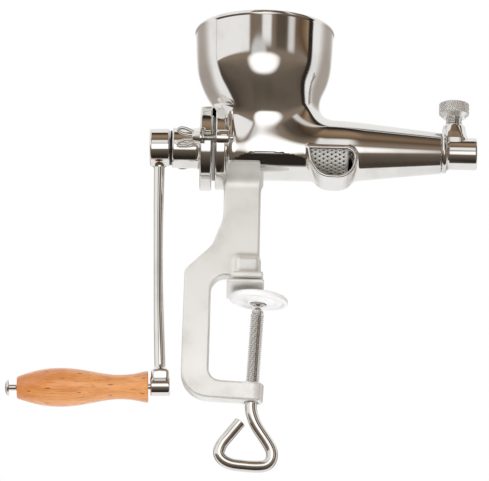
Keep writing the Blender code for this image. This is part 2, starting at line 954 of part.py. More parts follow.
def pad_socket():
    socket = turned(
        "pad_socket",
        [(0, 3.9), (5.0, 3.9), (5.0, -1.6), (3.3, -1.6), (3.3, 3.3), (0, 3.3)],
        satin("pad_socket"),
        steps=24,
    )
    on_ball(socket, SCREW_LEAN)


def swivel_disc():
    disc = turned(
        "swivel_disc",
        [
            (0, 5.6),
            (DISC_RADIUS - 1.0, 5.4),
            (DISC_RADIUS, 4.4),
            (DISC_RADIUS, 1.6),
            (DISC_RADIUS - 1.2, 0.8),
            (DISC_RADIUS - 2.6, 0.9),
            (DISC_RADIUS - 3.8, 2.2),
            (11.0, 2.2),
            (8.6, 0.4),
            (7.6, -0.4),
            (6.0, -0.4),
            (6.0, 4.7),
            (0, 4.7),
        ],
        make_material("swivel_disc", (0.85, 0.86, 0.88), 0.35, 0.0),
    )
    on_ball(disc, DISC_LEAN)


body_casting()
nozzle_end()
adjusting_screw()
juice_screen()
auger()
rear_cap()
seal_ring()
shaft_bush()
fixing("near", -1)
fixing("far", 1)
crank()
clamp_frame()
jaw_pad()
clamp_screw()
pad_socket()
swivel_disc()
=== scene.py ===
"""Looks of the hand-cranked auger juicer: fine meshes, procedural materials, light and camera.

Lengths in this script are millimetres, in the CAD's frame, and become metres where meshes are made.
"""

import json
import math

import bmesh
import bpy
import numpy as np
from mathutils import Matrix, Vector


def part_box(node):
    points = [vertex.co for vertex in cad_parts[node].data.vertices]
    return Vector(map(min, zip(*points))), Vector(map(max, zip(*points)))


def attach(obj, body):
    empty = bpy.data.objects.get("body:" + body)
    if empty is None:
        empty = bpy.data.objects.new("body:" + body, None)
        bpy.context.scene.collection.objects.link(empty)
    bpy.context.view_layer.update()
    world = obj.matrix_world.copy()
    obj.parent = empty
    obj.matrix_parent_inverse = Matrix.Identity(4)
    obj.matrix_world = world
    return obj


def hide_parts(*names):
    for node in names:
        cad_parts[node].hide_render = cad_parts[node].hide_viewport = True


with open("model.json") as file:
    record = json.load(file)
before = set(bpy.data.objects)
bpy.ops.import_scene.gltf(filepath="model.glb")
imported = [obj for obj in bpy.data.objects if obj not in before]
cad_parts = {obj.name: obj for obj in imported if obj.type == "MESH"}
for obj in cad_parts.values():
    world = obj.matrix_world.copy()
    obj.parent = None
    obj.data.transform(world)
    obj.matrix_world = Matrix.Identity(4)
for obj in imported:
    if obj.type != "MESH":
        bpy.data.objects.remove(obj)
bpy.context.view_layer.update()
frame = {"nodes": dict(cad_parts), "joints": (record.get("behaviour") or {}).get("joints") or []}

MM = 0.001
CLEAR = 0.3


# --- Sizes, from the frame -----------------------------------------------------------------------


def node_box(name):
    """A CAD node's lowest and highest corners in millimetres."""
    low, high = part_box(name)
    return Vector(low) / MM, Vector(high) / MM


joints = {joint["name"]: joint for joint in frame["joints"]}
AXIS_Z = joints["crank_turn"]["pos_m"][2] / MM
BALL = Vector(joints["screw_turn"]["pos_m"]) / MM
SCREW_LEAN = math.asin(joints["screw_turn"]["axis"][0])
CRANK_LEAN = -math.asin(joints["grip_spin"]["axis"][2])

body_low, body_high = node_box("body_casting")
HOPPER_RADIUS = (body_high.y - body_low.y) / 2
hopper_left = body_low.x
HOPPER_X = hopper_left + HOPPER_RADIUS
HOPPER_TOP = body_high.z - AXIS_Z
BARREL_REAR = node_box("stud_near")[0].x + 17.5
BARREL_FRONT = body_high.x
BARREL_RADIUS = 23.3
BARREL_FRONT_RADIUS = 15.4
TAPER_START = 75.0
BORE_RADIUS = 20.6
BORE_FRONT_RADIUS = 12.5
WALL = 2.6
THROAT_RADIUS = 16.0

cap_low, cap_high = node_box("rear_cap")
hub_low, hub_high = node_box("crank_hub")
HUB_RADIUS = (hub_high.y - hub_low.y) / 2
HUB_X = (hub_low.x + hub_high.x) / 2
nozzle_low, nozzle_high = node_box("nozzle_end")
PRESSURE_X = joints["pressure_turn"]["pos_m"][0] / MM
STUD_OFFSET = 27.0
STUD_RADIUS = 2.4
WINDOW_X = node_box("juice_screen")[1].x - 13.4
SCREEN_RADIUS = 20.2
COLLAR_FRONT = -25.3


# --- Node helpers for materials ------------------------------------------------------------------


class Nodes:
    """Short calls that build a node tree."""

    def __init__(self, tree):
        self.tree = tree

    def add(self, kind, **settings):
        node = self.tree.nodes.new(kind)
        for key, value in settings.items():
            setattr(node, key, value)
        return node

    def put(self, socket, value):
        if isinstance(value, bpy.types.NodeSocket):
            self.tree.links.new(value, socket)
        else:
            socket.default_value = value

    def math(self, operation, a, b=0.0, c=0.0, clamp=False):
        node = self.add("ShaderNodeMath", operation=operation, use_clamp=clamp)
        for socket, value in zip(node.inputs, (a, b, c)):
            self.put(socket, value)
        return node.outputs[0]

    def times(self, *factors):
        product = factors[0]
        for factor in factors[1:]:
            product = self.math("MULTIPLY", product, factor)
        return product

    def step(self, value, low, high, out_low=0.0, out_high=1.0):
        """A smooth step of value from low to high."""
        node = self.add("ShaderNodeMapRange", interpolation_type="SMOOTHSTEP")
        for socket, item in zip(node.inputs, (value, low, high, out_low, out_high)):
            self.put(socket, item)
        return node.outputs[0]

    def mix(self, factor, a, b):
        node = self.add("ShaderNodeMix", data_type="RGBA")
        self.put(node.inputs[0], factor)
        self.put(node.inputs[6], a)
        self.put(node.inputs[7], b)
        return node.outputs[2]

    def noise(self, vector, scale, detail=3.0, roughness=0.5):
        node = self.add("ShaderNodeTexNoise")
        self.put(node.inputs["Vector"], vector)
        node.inputs["Scale"].default_value = scale
        node.inputs["Detail"].default_value = detail
        node.inputs["Roughness"].default_value = roughness
        return node.outputs["Fac"]

    def stretched(self, scale):
        """Object coordinates, scaled along each axis."""
        coords = self.add("ShaderNodeTexCoord")
        mapping = self.add("ShaderNodeMapping")
        mapping.inputs["Scale"].default_value = scale
        self.put(mapping.inputs["Vector"], coords.outputs["Object"])
        return mapping.outputs[0]

    def bump(self, height, strength, distance, normal=None):
        node = self.add("ShaderNodeBump")
        node.inputs["Strength"].default_value = strength
        node.inputs["Distance"].default_value = distance
        self.put(node.inputs["Height"], height)
        if normal:
            self.put(node.inputs["Normal"], normal)
        return node.outputs[0]


def material(name, colour, roughness, metallic=0.0, **sockets):
    made = bpy.data.materials.new(name)
    made.use_nodes = True
    shader = made.node_tree.nodes["Principled BSDF"]
    shader.inputs["Base Color"].default_value = (*colour, 1)
    shader.inputs["Roughness"].default_value = roughness
    shader.inputs["Metallic"].default_value = metallic
    for key, value in sockets.items():
        shader.inputs[key.replace("_", " ")].default_value = value
    return made, Nodes(made.node_tree), shader


def steel(name, colour, low, high, mark_scale, mark_height, spot=0.0, metallic=1.0):
    """Stainless steel: roughness drifts between low and high, with fine polishing marks in relief."""
    made, n, shader = material(name, colour, (low + high) / 2, metallic)
    cloud = n.noise(n.stretched((1, 1, 1)), 38.0, 4.0)
    marks = n.noise(n.stretched(mark_scale), 900.0, 2.0)
    smear = n.math("MULTIPLY_ADD", marks, 0.35, n.times(cloud, 0.65))
    n.put(shader.inputs["Roughness"], n.step(smear, 0.3, 0.72, low, high))
    dull = tuple(c * 0.88 for c in colour)
    n.put(shader.inputs["Base Color"], n.mix(n.step(cloud, 0.45, 0.75), (*colour, 1), (*dull, 1)))
    relief = n.math("MULTIPLY_ADD", cloud, spot, marks)
    n.put(shader.inputs["Normal"], n.bump(relief, 0.35, mark_height))
    return made


def beech(name):
    """Lacquered beech: warm bands along the grip, fine fibres and short dark ray flecks."""
    made, n, shader = material(
        name, (0.62, 0.29, 0.11), 0.32, Coat_Weight=0.75, Coat_Roughness=0.07
    )
    along = n.stretched((0.16, 1.0, 1.0))
    bands = n.noise(along, 95.0, 3.0, 0.6)
    fibres = n.noise(n.stretched((0.05, 1.0, 1.0)), 900.0, 3.0, 0.7)
    blotch = n.noise(n.stretched((0.35, 1.0, 1.0)), 40.0, 2.0)
    pale = n.mix(n.step(blotch, 0.3, 0.75), (0.70, 0.27, 0.075, 1), (0.78, 0.36, 0.13, 1))
    warm = n.mix(n.step(bands, 0.42, 0.72), pale, (0.56, 0.19, 0.045, 1))
    grain = n.mix(n.step(fibres, 0.45, 0.8), warm, (0.40, 0.15, 0.05, 1))
    flecks = n.add("ShaderNodeTexVoronoi", feature="F1")
    n.put(flecks.inputs["Vector"], n.stretched((0.2, 1.0, 1.0)))
    flecks.inputs["Scale"].default_value = 420.0
    flecks.inputs["Randomness"].default_value = 1.0
    cell = n.add("ShaderNodeSeparateColor")
    n.put(cell.inputs[0], flecks.outputs["Color"])
    chosen = n.math("GREATER_THAN", cell.outputs[0], 0.78)
    spot = n.times(n.step(flecks.outputs["Distance"], 0.28, 0.10), chosen)
    n.put(shader.inputs["Base Color"], n.mix(spot, grain, (0.20, 0.07, 0.025, 1)))
    n.put(shader.inputs["Roughness"], n.step(fibres, 0.3, 0.8, 0.26, 0.42))
    height = n.math("SUBTRACT", n.times(fibres, 0.3), spot)
    n.put(shader.inputs["Normal"], n.bump(height, 0.25, 0.00012))
    return made


def nylon(name):
    made, n, shader = material(
        name, (0.90, 0.905, 0.92), 0.36, Subsurface_Weight=0.12, Subsurface_Scale=0.004
    )
    grain = n.noise(n.stretched((1, 1, 1)), 700.0, 3.0)
    scuff = n.noise(n.stretched((1, 1, 1)), 90.0, 5.0, 0.65)
    tint = n.mix(n.step(scuff, 0.5, 0.8), (0.90, 0.905, 0.92, 1), (0.82, 0.825, 0.84, 1))
    n.put(shader.inputs["Base Color"], tint)
    n.put(shader.inputs["Roughness"], n.step(scuff, 0.3, 0.75, 0.28, 0.46))
    n.put(shader.inputs["Normal"], n.bump(grain, 0.2, 0.00008))
    return made


def moulded(name, colour, roughness):
    made, n, shader = material(name, colour, roughness)
    grain = n.noise(n.stretched((1, 1, 1)), 850.0, 3.0)
    wear = n.noise(n.stretched((1, 1, 1)), 120.0, 4.0)
    lighter = tuple(min(1.0, c * 1.35 + 0.01) for c in colour)
    n.put(shader.inputs["Base Color"], n.mix(n.step(wear, 0.5, 0.8), (*colour, 1), (*lighter, 1)))
    n.put(shader.inputs["Roughness"], n.step(wear, 0.3, 0.7, roughness * 0.8, roughness * 1.25))
    n.put(shader.inputs["Normal"], n.bump(grain, 0.3, 0.0001))
    return made


MIRROR = steel("mirror_steel_look", (0.83, 0.81, 0.78), 0.035, 0.10, (1, 1, 1), 0.0000025, 0.6)
BRIGHT = steel("bright_steel_look", (0.80, 0.78, 0.75), 0.07, 0.17, (1, 1, 1), 0.000006)
TURNED = steel("turned_steel_look", (0.72, 0.70, 0.67), 0.16, 0.30, (6, 1, 1), 0.00001)
SATIN = steel("satin_steel_look", (0.88, 0.875, 0.845), 0.34, 0.46, (1, 1, 1), 0.00002, 1.2, 0.6)
THREAD = steel("thread_steel_look", (0.80, 0.79, 0.77), 0.1, 0.2, (1, 1, 1), 0.00001)
KNURL = steel("knurl_steel_look", (0.90, 0.89, 0.87), 0.22, 0.34, (1, 1, 1), 0.00001, 0.0, 0.75)
SCREEN = steel("screen_steel_look", (0.90, 0.895, 0.87), 0.34, 0.46, (1, 1, 1), 0.00001, 0.0, 0.5)
# Darkened steel for the auger: painted shade inside the barrel, so that the screen's holes read dark.
AUGER_PAINTED_SHADE = steel("auger_painted_shade_look", (0.42, 0.41, 0.39), 0.22, 0.36, (1, 1, 1), 0.00001)
WOOD = beech("beech_look")
NYLON = nylon("nylon_look")
BUSH = moulded("bush_look", (0.012, 0.012, 0.013), 0.42)
SEAL = moulded("seal_look", (0.70, 0.70, 0.68), 0.40)


# --- Mesh helpers --------------------------------------------------------------------------------


def link(name, mesh, look, body, slot, *nodes, smooth_angle=32.0):
    """A piece that rides on a body, wears the given look and replaces these CAD nodes; slot is not used.
    """
    made = bpy.data.objects.new(name, mesh)
    mesh.materials.append(look)
    bpy.context.scene.collection.objects.link(made)
    if smooth_angle:
        mesh.shade_smooth()
        mesh.set_sharp_from_angle(angle=math.radians(smooth_angle))
    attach(made, body)
    if nodes:
        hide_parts(*nodes)
    return made


def grid_mesh(name, points, closed_u=True, closed_v=False, flip=False):
    """A mesh of quads over points[v][u]; poles are left to merge by distance."""
    rows, columns = points.shape[:2]
    index = np.arange(rows * columns).reshape(rows, columns)
    right = np.roll(index, -1, axis=1)
    below = np.roll(index, -1, axis=0)
    corner = np.roll(below, -1, axis=1)
    v_end = rows if closed_v else rows - 1
    u_end = columns if closed_u else columns - 1
    quads = np.stack([index, right, corner, below], axis=-1)[:v_end, :u_end].reshape(-1, 4)
    if flip:
        quads = quads[:, ::-1]
    mesh = bpy.data.meshes.new(name)
    mesh.from_pydata((points.reshape(-1, 3) * MM).tolist(), [], quads.tolist())
    work = bmesh.new()
    work.from_mesh(mesh)
    bmesh.ops.remove_doubles(work, verts=work.verts, dist=0.000002)
    bmesh.ops.dissolve_degenerate(work, edges=work.edges, dist=0.000001)
    bmesh.ops.recalc_face_normals(work, faces=work.faces)
    work.to_mesh(mesh)
    work.free()
    return mesh


def softened(profile, radius=0.5, steps=3):
    """A profile whose corners, apart from its ends, are rounded by small arcs."""
    points = [Vector(p[:2]) for p in profile]
    own = [p[2] if len(p) > 2 else radius for p in profile]
    result = [points[0]]
    for i in range(1, len(points) - 1):
        here = points[i]
        before, after = points[i - 1] - here, points[i + 1] - here
        angle = before.angle(after, math.pi)
        reach = min(before.length, after.length) * 0.45
        arc = min(own[i], reach * math.tan(angle / 2))
        if arc < 0.01 or angle > math.radians(176):
            result.append(here)
            continue
        tangent = arc / math.tan(angle / 2)
        middle = (before.normalized() + after.normalized()).normalized()
        centre = here + middle * arc / math.sin(angle / 2)
        start = here + before.normalized() * tangent - centre
        end = here + after.normalized() * tangent - centre
        for step in range(steps + 1):
            result.append(centre + start.slerp(end, step / steps).normalized() * arc)
    result.append(points[-1])
    return result


def turned(name, profile, place, sides=96, radius=0.5, wave=None, ring=False):
    """A turned surface about its own Z; wave(radius, height, angle) may change each radius."""
    if ring:
        profile = list(profile) + [profile[0], profile[1]]
        outline = softened(profile, radius)[1:-1]
    else:
        outline = softened(profile, radius)
    angles = np.linspace(0, 2 * math.pi, sides, endpoint=False)
    radii = np.array([p.x for p in outline])[:, None] * np.ones(sides)
    heights = np.array([p.y for p in outline])[:, None] * np.ones(sides)
    if wave:
        radii = wave(radii, heights, angles[None, :] * np.ones_like(radii))
    points = np.stack([radii * np.cos(angles), radii * np.sin(angles), heights], axis=-1)
    mesh = grid_mesh(name, points, closed_v=ring)
    mesh.transform(metres(place))
    return mesh


def metres(place):
    """A placement whose translation is in millimetres, as one in metres."""
    moved = place.copy()
    moved.translation = moved.translation * MM
    return moved


def shift(x=0.0, y=0.0, z=0.0):
    return Matrix.Translation((x, y, z))


def about_x(y=0.0, z=None):
    """Height runs along +X."""
    return shift(0, y, AXIS_Z if z is None else z) @ Matrix.Rotation(math.pi / 2, 4, "Y")


def catmull(points, spans=8, closed=False):
    places = [Vector(p) for p in points]
    if closed:
        places = [places[-1]] + places + places[:2]
    else:
        places = [2 * places[0] - places[1]] + places + [2 * places[-1] - places[-2]]
    path = []
    for a, b, c, d in zip(places, places[1:], places[2:], places[3:]):
        for step in range(spans):
            t = step / spans
            square = (2 * a - 5 * b + 4 * c - d) * t**2
            cube = (3 * b - a - 3 * c + d) * t**3
            path.append(0.5 * (2 * b + (c - a) * t + square + cube))
    if not closed:
        path.append(places[-2])
    return path


def tube(name, path, radius, sides=20, closed=False, place=Matrix(), ends=0.35):
    """A round bar along a path; radius is a number or one number for each point."""
    count = len(path)
    radii = [radius] * count if isinstance(radius, (int, float)) else list(radius)
    rings = []
    normal = None
    for i, point in enumerate(path):
        ahead = path[(i + 1) % count] if closed or i + 1 < count else point
        behind = path[i - 1] if closed or i else point
        tangent = (ahead - behind).normalized()
        if normal is None:
            normal = tangent.orthogonal().normalized()
        normal = (normal - tangent * normal.dot(tangent)).normalized()
        side = tangent.cross(normal)
        for_ring = []
        for k in range(sides):
            angle = 2 * math.pi * k / sides
            for_ring.append(point + (normal * math.cos(angle) + side * math.sin(angle)) * radii[i])
        rings.append((point, tangent, for_ring))
    rows = [ring for _, _, ring in rings]
    if not closed:
        first, last = rings[0], rings[-1]
        rows = (
            [[first[0] - first[1] * ends] * sides]
            + [[first[0] + (p - first[0]) * (1 - ends / radii[0]) - first[1] * ends for p in first[2]]]
            + rows
            + [[last[0] + (p - last[0]) * (1 - ends / radii[-1]) + last[1] * ends for p in last[2]]]
            + [[last[0] + last[1] * ends] * sides]
        )
    points = np.array([[tuple(p) for p in row] for row in rows])
    mesh = grid_mesh(name, points, closed_v=closed)
    mesh.transform(metres(place))
    return mesh


def joined(name, meshes):
    """Several meshes as one."""
    work = bmesh.new()
    for mesh in meshes:
        work.from_mesh(mesh)
    result = bpy.data.meshes.new(name)
    work.to_mesh(result)
    work.free()
    for mesh in meshes:
        bpy.data.meshes.remove(mesh)
    return result


# --- Smooth castings: distance fields meshed as one skin -----------------------------------------


def blend_union(a, b, reach):
    """The smaller of two distances, with a fillet of about this reach where they meet."""
    h = np.clip(0.5 + 0.5 * (b - a) / reach, 0, 1)
    return b + (a - b) * h - reach * h * (1 - h)


def blend_cut(a, b, reach):
    return -blend_union(-a, b, reach)


def spline_table(points, samples=1500):
    """Smooth (height, radius) samples through a few stations: a natural cubic spline."""
    x = np.array([p[0] for p in points], float)
    y = np.array([p[1] for p in points], float)
    n = len(x)
    h = np.diff(x)
    matrix = np.eye(n)
    right = np.zeros(n)
    for i in range(1, n - 1):
        matrix[i, i - 1 : i + 2] = h[i - 1], 2 * (h[i - 1] + h[i]), h[i]
        right[i] = 6 * ((y[i + 1] - y[i]) / h[i] - (y[i] - y[i - 1]) / h[i - 1])
    m = np.linalg.solve(matrix, right)
    xs = np.linspace(x[0], x[-1], samples)
    k = np.clip(np.searchsorted(x, xs) - 1, 0, n - 2)
    t = xs - x[k]
    slope = (y[k + 1] - y[k]) / h[k] - h[k] * (2 * m[k] + m[k + 1]) / 6
    ys = y[k] + slope * t + m[k] * t**2 / 2 + (m[k + 1] - m[k]) * t**3 / (6 * h[k])
    return xs, ys, np.gradient(ys, xs)


def round_wall(distance_from_axis, height, table):
    """Distance to a turned wall given as a spline table."""
    xs, ys, slopes = table
    radius = np.interp(height, xs, ys)
    slope = np.interp(height, xs, slopes)
    return (distance_from_axis - radius) / np.sqrt(1 + slope**2)


def skin(name, field, low, high, pitch, offset=(0, 0, 0)):
    """The surface where field is zero: quads with one point in each crossed cell, moved onto it."""
    axes = [np.arange(a, b + pitch, pitch) + o for a, b, o in zip(low, high, offset)]
    values = np.stack([field(x, axes[1][:, None], axes[2][None, :]) for x in axes[0]])
    inside = values < 0
    corners = [(i, j, k) for i in (0, 1) for j in (0, 1) for k in (0, 1)]
    shape = tuple(s - 1 for s in values.shape)

    def part(array, corner):
        return array[tuple(slice(start, start + size) for start, size in zip(corner, shape))]

    total = sum(part(inside, c).astype(np.int8) for c in corners)
    mixed = (total > 0) & (total < 8)
    index = np.full(shape, -1)
    cells = np.argwhere(mixed)
    index[mixed] = np.arange(len(cells))
    sums = np.zeros((len(cells), 3))
    counts = np.zeros(len(cells))
    cube = {c: part(values, c)[mixed] for c in corners}
    for a in corners:
        for axis in range(3):
            if a[axis]:
                continue
            b = tuple(a[i] + (i == axis) for i in range(3))
            crossed = (cube[a] < 0) != (cube[b] < 0)
            t = np.where(crossed, cube[a] / np.where(crossed, cube[a] - cube[b], 1), 0)
            place = np.array(a, float) + np.outer(t, np.eye(3)[axis])
            sums += place * crossed[:, None]
            counts += crossed
    origin = np.array([axis[0] for axis in axes])
    points = (cells + sums / counts[:, None]) * pitch + origin
    quads = []
    for axis in range(3):
        u, v = (axis + 1) % 3, (axis + 2) % 3
        first = [slice(None)] * 3
        second = [slice(None)] * 3
        first[axis] = slice(0, -1)
        second[axis] = slice(1, None)
        for s in (first, second):
            s[u] = s[v] = slice(1, -1)
        start, end = inside[tuple(first)], inside[tuple(second)]
        for flips, where in ((False, start & ~end), (True, ~start & end)):
            spots = np.argwhere(where)
            spots[:, u] += 1
            spots[:, v] += 1
            four = []
            for du, dv in ((-1, -1), (0, -1), (0, 0), (-1, 0)):
                cell = spots.copy()
                cell[:, u] += du
                cell[:, v] += dv
                four.append(index[tuple(cell.T)])
            quad = np.stack(four, axis=-1)
            quads.append(quad[:, ::-1] if flips else quad)
    quads = np.concatenate(quads)

    def slope_at(p, reach):
        columns = []
        for axis in range(3):
            move = np.zeros(3)
            move[axis] = reach
            ahead, behind = p + move, p - move
            columns.append((field(*ahead.T) - field(*behind.T)) / (2 * reach))
        return np.stack(columns, axis=-1)

    for _ in range(4):
        value = field(*points.T)
        slope = slope_at(points, 0.05)
        push = slope * (value / np.maximum((slope**2).sum(-1), 0.05))[:, None]
        points -= np.clip(push, -0.4 * pitch, 0.4 * pitch)
    normals = slope_at(points, 0.12)
    normals /= np.maximum(np.linalg.norm(normals, axis=1), 1e-9)[:, None]
    mesh = bpy.data.meshes.new(name)
    mesh.from_pydata((points * MM).tolist(), [], quads.tolist())
    mesh.validate()
    mesh.shade_smooth()
    mesh.normals_split_custom_set_from_vertices(normals.tolist())
    return mesh


def outline_distance(x, z, outline):
    """Signed distance to a closed outline, negative inside."""
    best = np.full(np.broadcast(x, z).shape, 1e9)
    odd = np.zeros(best.shape, bool)
    for (ax, az), (bx, bz) in zip(outline, outline[1:] + outline[:1]):
        ex, ez = bx - ax, bz - az
        px, pz = x - ax, z - az
        t = np.clip((px * ex + pz * ez) / (ex * ex + ez * ez), 0, 1)
        best = np.minimum(best, (px - ex * t) ** 2 + (pz - ez * t) ** 2)
        if az != bz:
            odd ^= ((z >= az) != (z >= bz)) & (px < ex * pz / ez)
    return np.where(odd, -1, 1) * np.sqrt(best)


def extruded(flat, y, half, edge):
    """A flat distance given thickness along Y, with its edges rounded by edge."""
    return rounded_rod(flat, y, 0.0, half, edge)


def rounded_rod(across, along, radius, half, edge):
    """A short round bar about an axis, with its rims rounded by edge."""
    a, b = across - radius + edge, np.abs(along) - half + edge
    return np.hypot(np.maximum(a, 0), np.maximum(b, 0)) + np.minimum(np.maximum(a, b), 0) - edge


def rounded_box(x, y, z, centre, half, edge):
    q = [np.abs(p - c) - h + edge for p, c, h in zip((x, y, z), centre, half)]
    outside = np.sqrt(sum(np.maximum(a, 0) ** 2 for a in q))
    inside = np.minimum(np.maximum(np.maximum(q[0], q[1]), q[2]), 0)
    return outside + inside - edge


def corner_arcs(corners, steps=8):
    """A closed outline through corners (x, z, radius), rounded by arcs."""
    outline = []
    for i, (x, z, radius) in enumerate(corners):
        here = Vector((x, z))
        before = (Vector(corners[i - 1][:2]) - here).normalized()
        after = (Vector(corners[(i + 1) % len(corners)][:2]) - here).normalized()
        half = before.angle(after) / 2
        if radius <= 0:
            outline.append((x, z))
            continue
        centre = here + (before + after).normalized() * radius / math.sin(half)
        start = here + before * radius / math.tan(half) - centre
        end = here + after * radius / math.tan(half) - centre
        for step in range(steps + 1):
            spot = centre + start.slerp(end, step / steps).normalized() * radius
            outline.append((spot.x, spot.y))
    return outline


# --- Body casting --------------------------------------------------------------------------------

FUNNEL = (
    (-12, 21.0, 40.5, 22.0), (0, 24.6, 40.8, 23.2), (8, 27.2, 41.0, 24.4), (15, 29.8, 41.2, 26.2),
    (22, 32.8, 41.4, 29.6), (29, 36.3, 41.8, 34.6), (36, 40.2, 42.6, 39.6), (43, 44.0, 44.2, 43.9),
    (50, 47.1, 47.1, 47.1), (58, 49.7, 49.7, 49.7), (67, 51.1, 51.1, 51.1),
    (83.6, 52.1, 52.1, 52.1), (100, 52.9, 52.9, 52.9),
)
FUNNEL_SIDE, FUNNEL_RIGHT, FUNNEL_LEFT = (
    spline_table([(row[0], row[i]) for row in FUNNEL]) for i in (1, 2, 3)
)
BOWL_INSIDE = spline_table(
    [
        (-10, THROAT_RADIUS - 1.5), (12, THROAT_RADIUS), (20, 18.5), (26, 23.5), (32, 30.8),
        (38, 36.6), (45, 41.4), (52, 44.7), (60, 47.2), (69, 48.5), (83.6, 49.5), (110, 50.9),
    ]
)
COLLAR_CORNERS = (
    (-17.6, -4.4, 1.2), (-16.0, -16.0, 10.0), (-8.0, -28.4, 14.0), (17.0, -28.8, 14.0),
    (21.0, -8.0, 9.0), (13.6, -4.4, 3.0),
)


def collar_outline(inset=0.0):
    middle = Vector((1.0, -15.0))
    corners = []
    for x, z, radius in COLLAR_CORNERS:
        spoke = Vector((x, z)) - middle
        place = middle + spoke * (1 - inset * 1.12 / spoke.length)
        corners.append((place.x + WINDOW_X, place.y + AXIS_Z, max(radius - inset, 0.8)))
    return corner_arcs(corners)


COLLAR_OUTSIDE = collar_outline()
COLLAR_INSIDE = collar_outline(2.0)


def barrel_wall(across, x, rear_radius, front_radius):
    """Distance to the barrel's wall: straight, then tapering from TAPER_START."""
    slope = (rear_radius - front_radius) / (BARREL_FRONT - TAPER_START)
    straight = across - rear_radius
    cone = (across - rear_radius + slope * (x - TAPER_START)) / math.hypot(1, slope)
    return -blend_union(-straight, -cone, 1.5)


def funnel_wall(x, y, z):
    """Distance to the hopper's outside: round at its mouth, longer towards the outlet at its foot."""
    right = x > 0
    heights = FUNNEL_SIDE[0]
    side, side_slope = (np.interp(z, heights, FUNNEL_SIDE[i]) for i in (1, 2))
    end, end_slope = (
        np.where(right, np.interp(z, heights, FUNNEL_RIGHT[i]), np.interp(z, heights, FUNNEL_LEFT[i]))
        for i in (1, 2)
    )
    u, v = x / end, y / side
    reach = np.maximum(np.hypot(u, v), 1e-6)
    rise = (u * u * end_slope / end + v * v * side_slope / side) / reach
    slope = np.sqrt((u / end / reach) ** 2 + (v / side / reach) ** 2 + rise**2)
    return (reach - 1) / slope


def casting_field(x, y, z):
    z = z - AXIS_Z
    around = np.hypot(x - HOPPER_X, y)
    across = np.hypot(y, z)
    bowl = funnel_wall(x - HOPPER_X, y, z)
    bowl = np.maximum(bowl, z - (HOPPER_TOP - 1.2))
    bowl = np.maximum(bowl, -z - 6)
    barrel = barrel_wall(across, x, BARREL_RADIUS, BARREL_FRONT_RADIUS)
    barrel = np.maximum(barrel, np.maximum(x - BARREL_FRONT + 0.05, BARREL_REAR + 3 - x))
    outside = blend_union(bowl, barrel, 15.0)
    flange = np.maximum(across - 30.2, np.abs(x - (BARREL_REAR + 4.6)) - 4.0)
    outside = blend_union(outside, flange, 7.0)
    near_window = (np.abs(x - WINDOW_X) < 30) & (y < 12) & (z < 8)
    if np.any(near_window):
        collar = np.full(outside.shape, 1e3)
        spot = np.broadcast_to(near_window, outside.shape)
        xs, ys, zs = (np.broadcast_to(v, outside.shape)[spot] for v in (x, y, z))
        flat = outline_distance(xs, zs + AXIS_Z, COLLAR_OUTSIDE)
        collar[spot] = extruded(flat, ys + 8, -COLLAR_FRONT - 8, 0.7)
        outside = blend_union(outside, collar, 3.0)
    inner_bowl = np.maximum(round_wall(around, z, BOWL_INSIDE), -z - 2)
    bore = barrel_wall(across, x, BORE_RADIUS, BORE_FRONT_RADIUS)
    bore = np.maximum(bore, BARREL_REAR - 6 - x)
    hollow = blend_union(inner_bowl, bore, 2.5)
    whole = blend_cut(outside, hollow, 0.7)
    if np.any(near_window):
        gap = np.full(outside.shape, 1e3)
        flat = outline_distance(xs, zs + AXIS_Z, COLLAR_INSIDE)
        gap[spot] = np.maximum(flat, np.abs(ys + 25) - 19)
        whole = blend_cut(whole, gap, 0.8)
    return whole


def body_casting():
    pitch = 1.15
    low = (hopper_left - 2, -HOPPER_RADIUS - 2, AXIS_Z - 33)
    high = (BARREL_FRONT + 2, HOPPER_RADIUS + 2, AXIS_Z + HOPPER_TOP + 2)
    mesh = skin("casting_skin", casting_field, low, high, pitch, (0.13, 0.21, 0.17))
    link("casting", mesh, MIRROR, "frame", "mirror_steel", "body_casting", smooth_angle=None)

    rim = turned(
        "rim",
        [
            (HOPPER_RADIUS - WALL - 0.1, HOPPER_TOP - 6.5),
            (HOPPER_RADIUS - WALL - 0.2, HOPPER_TOP - 0.2, 0.8),
            (HOPPER_RADIUS - 0.5, HOPPER_TOP - 0.1, 1.2), (HOPPER_RADIUS, HOPPER_TOP - 2.6, 1.4),
            (HOPPER_RADIUS - 1.0, HOPPER_TOP - 4.4, 2.0), (HOPPER_RADIUS - 1.25, HOPPER_TOP - 7.0),
        ],
        shift(HOPPER_X, 0, AXIS_Z),
        sides=180,
        radius=0.8,
        ring=True,
    )
    link("casting_rim", rim, MIRROR, "frame", "mirror_steel")

    flange = turned(
        "flange",
        [
            (21.2, BARREL_REAR + 0.05), (30.6, BARREL_REAR + 0.05, 0.4),
            (31.0, BARREL_REAR + 1.0, 0.6), (31.0, BARREL_REAR + 7.2, 1.2),
            (27.0, BARREL_REAR + 9.2, 2.0), (21.2, BARREL_REAR + 9.2),
        ],
        about_x(),
        sides=128,
        ring=True,
    )
    lugs = [flange]
    for side in (-1, 1):
        lugs.append(
            turned(
                "lug",
                [
                    (STUD_RADIUS, BARREL_REAR + 0.1), (6.5, BARREL_REAR + 0.1, 0.8),
                    (6.5, BARREL_REAR + 10.5, 2.0), (STUD_RADIUS + 1.4, BARREL_REAR + 11.0, 1.2),
                    (STUD_RADIUS, BARREL_REAR + 10.4),
                ],
                about_x(side * STUD_OFFSET),
                sides=40,
                radius=0.7,
                ring=True,
            )
        )
    link("casting_flange", joined("casting_flange", lugs), MIRROR, "frame", "mirror_steel")

    middle = [(a[0] + b[0], a[1] + b[1]) for a, b in zip(COLLAR_OUTSIDE, COLLAR_INSIDE)]
    path = [Vector((x / 2, COLLAR_FRONT + 0.75, z / 2)) for x, z in middle]
    bead = tube("bead", path, 1.2, sides=12, closed=True)
    link("casting_window_bead", bead, MIRROR, "frame", "mirror_steel")


# --- Nozzle, pressure screw and screen ------------------------------------------------------------


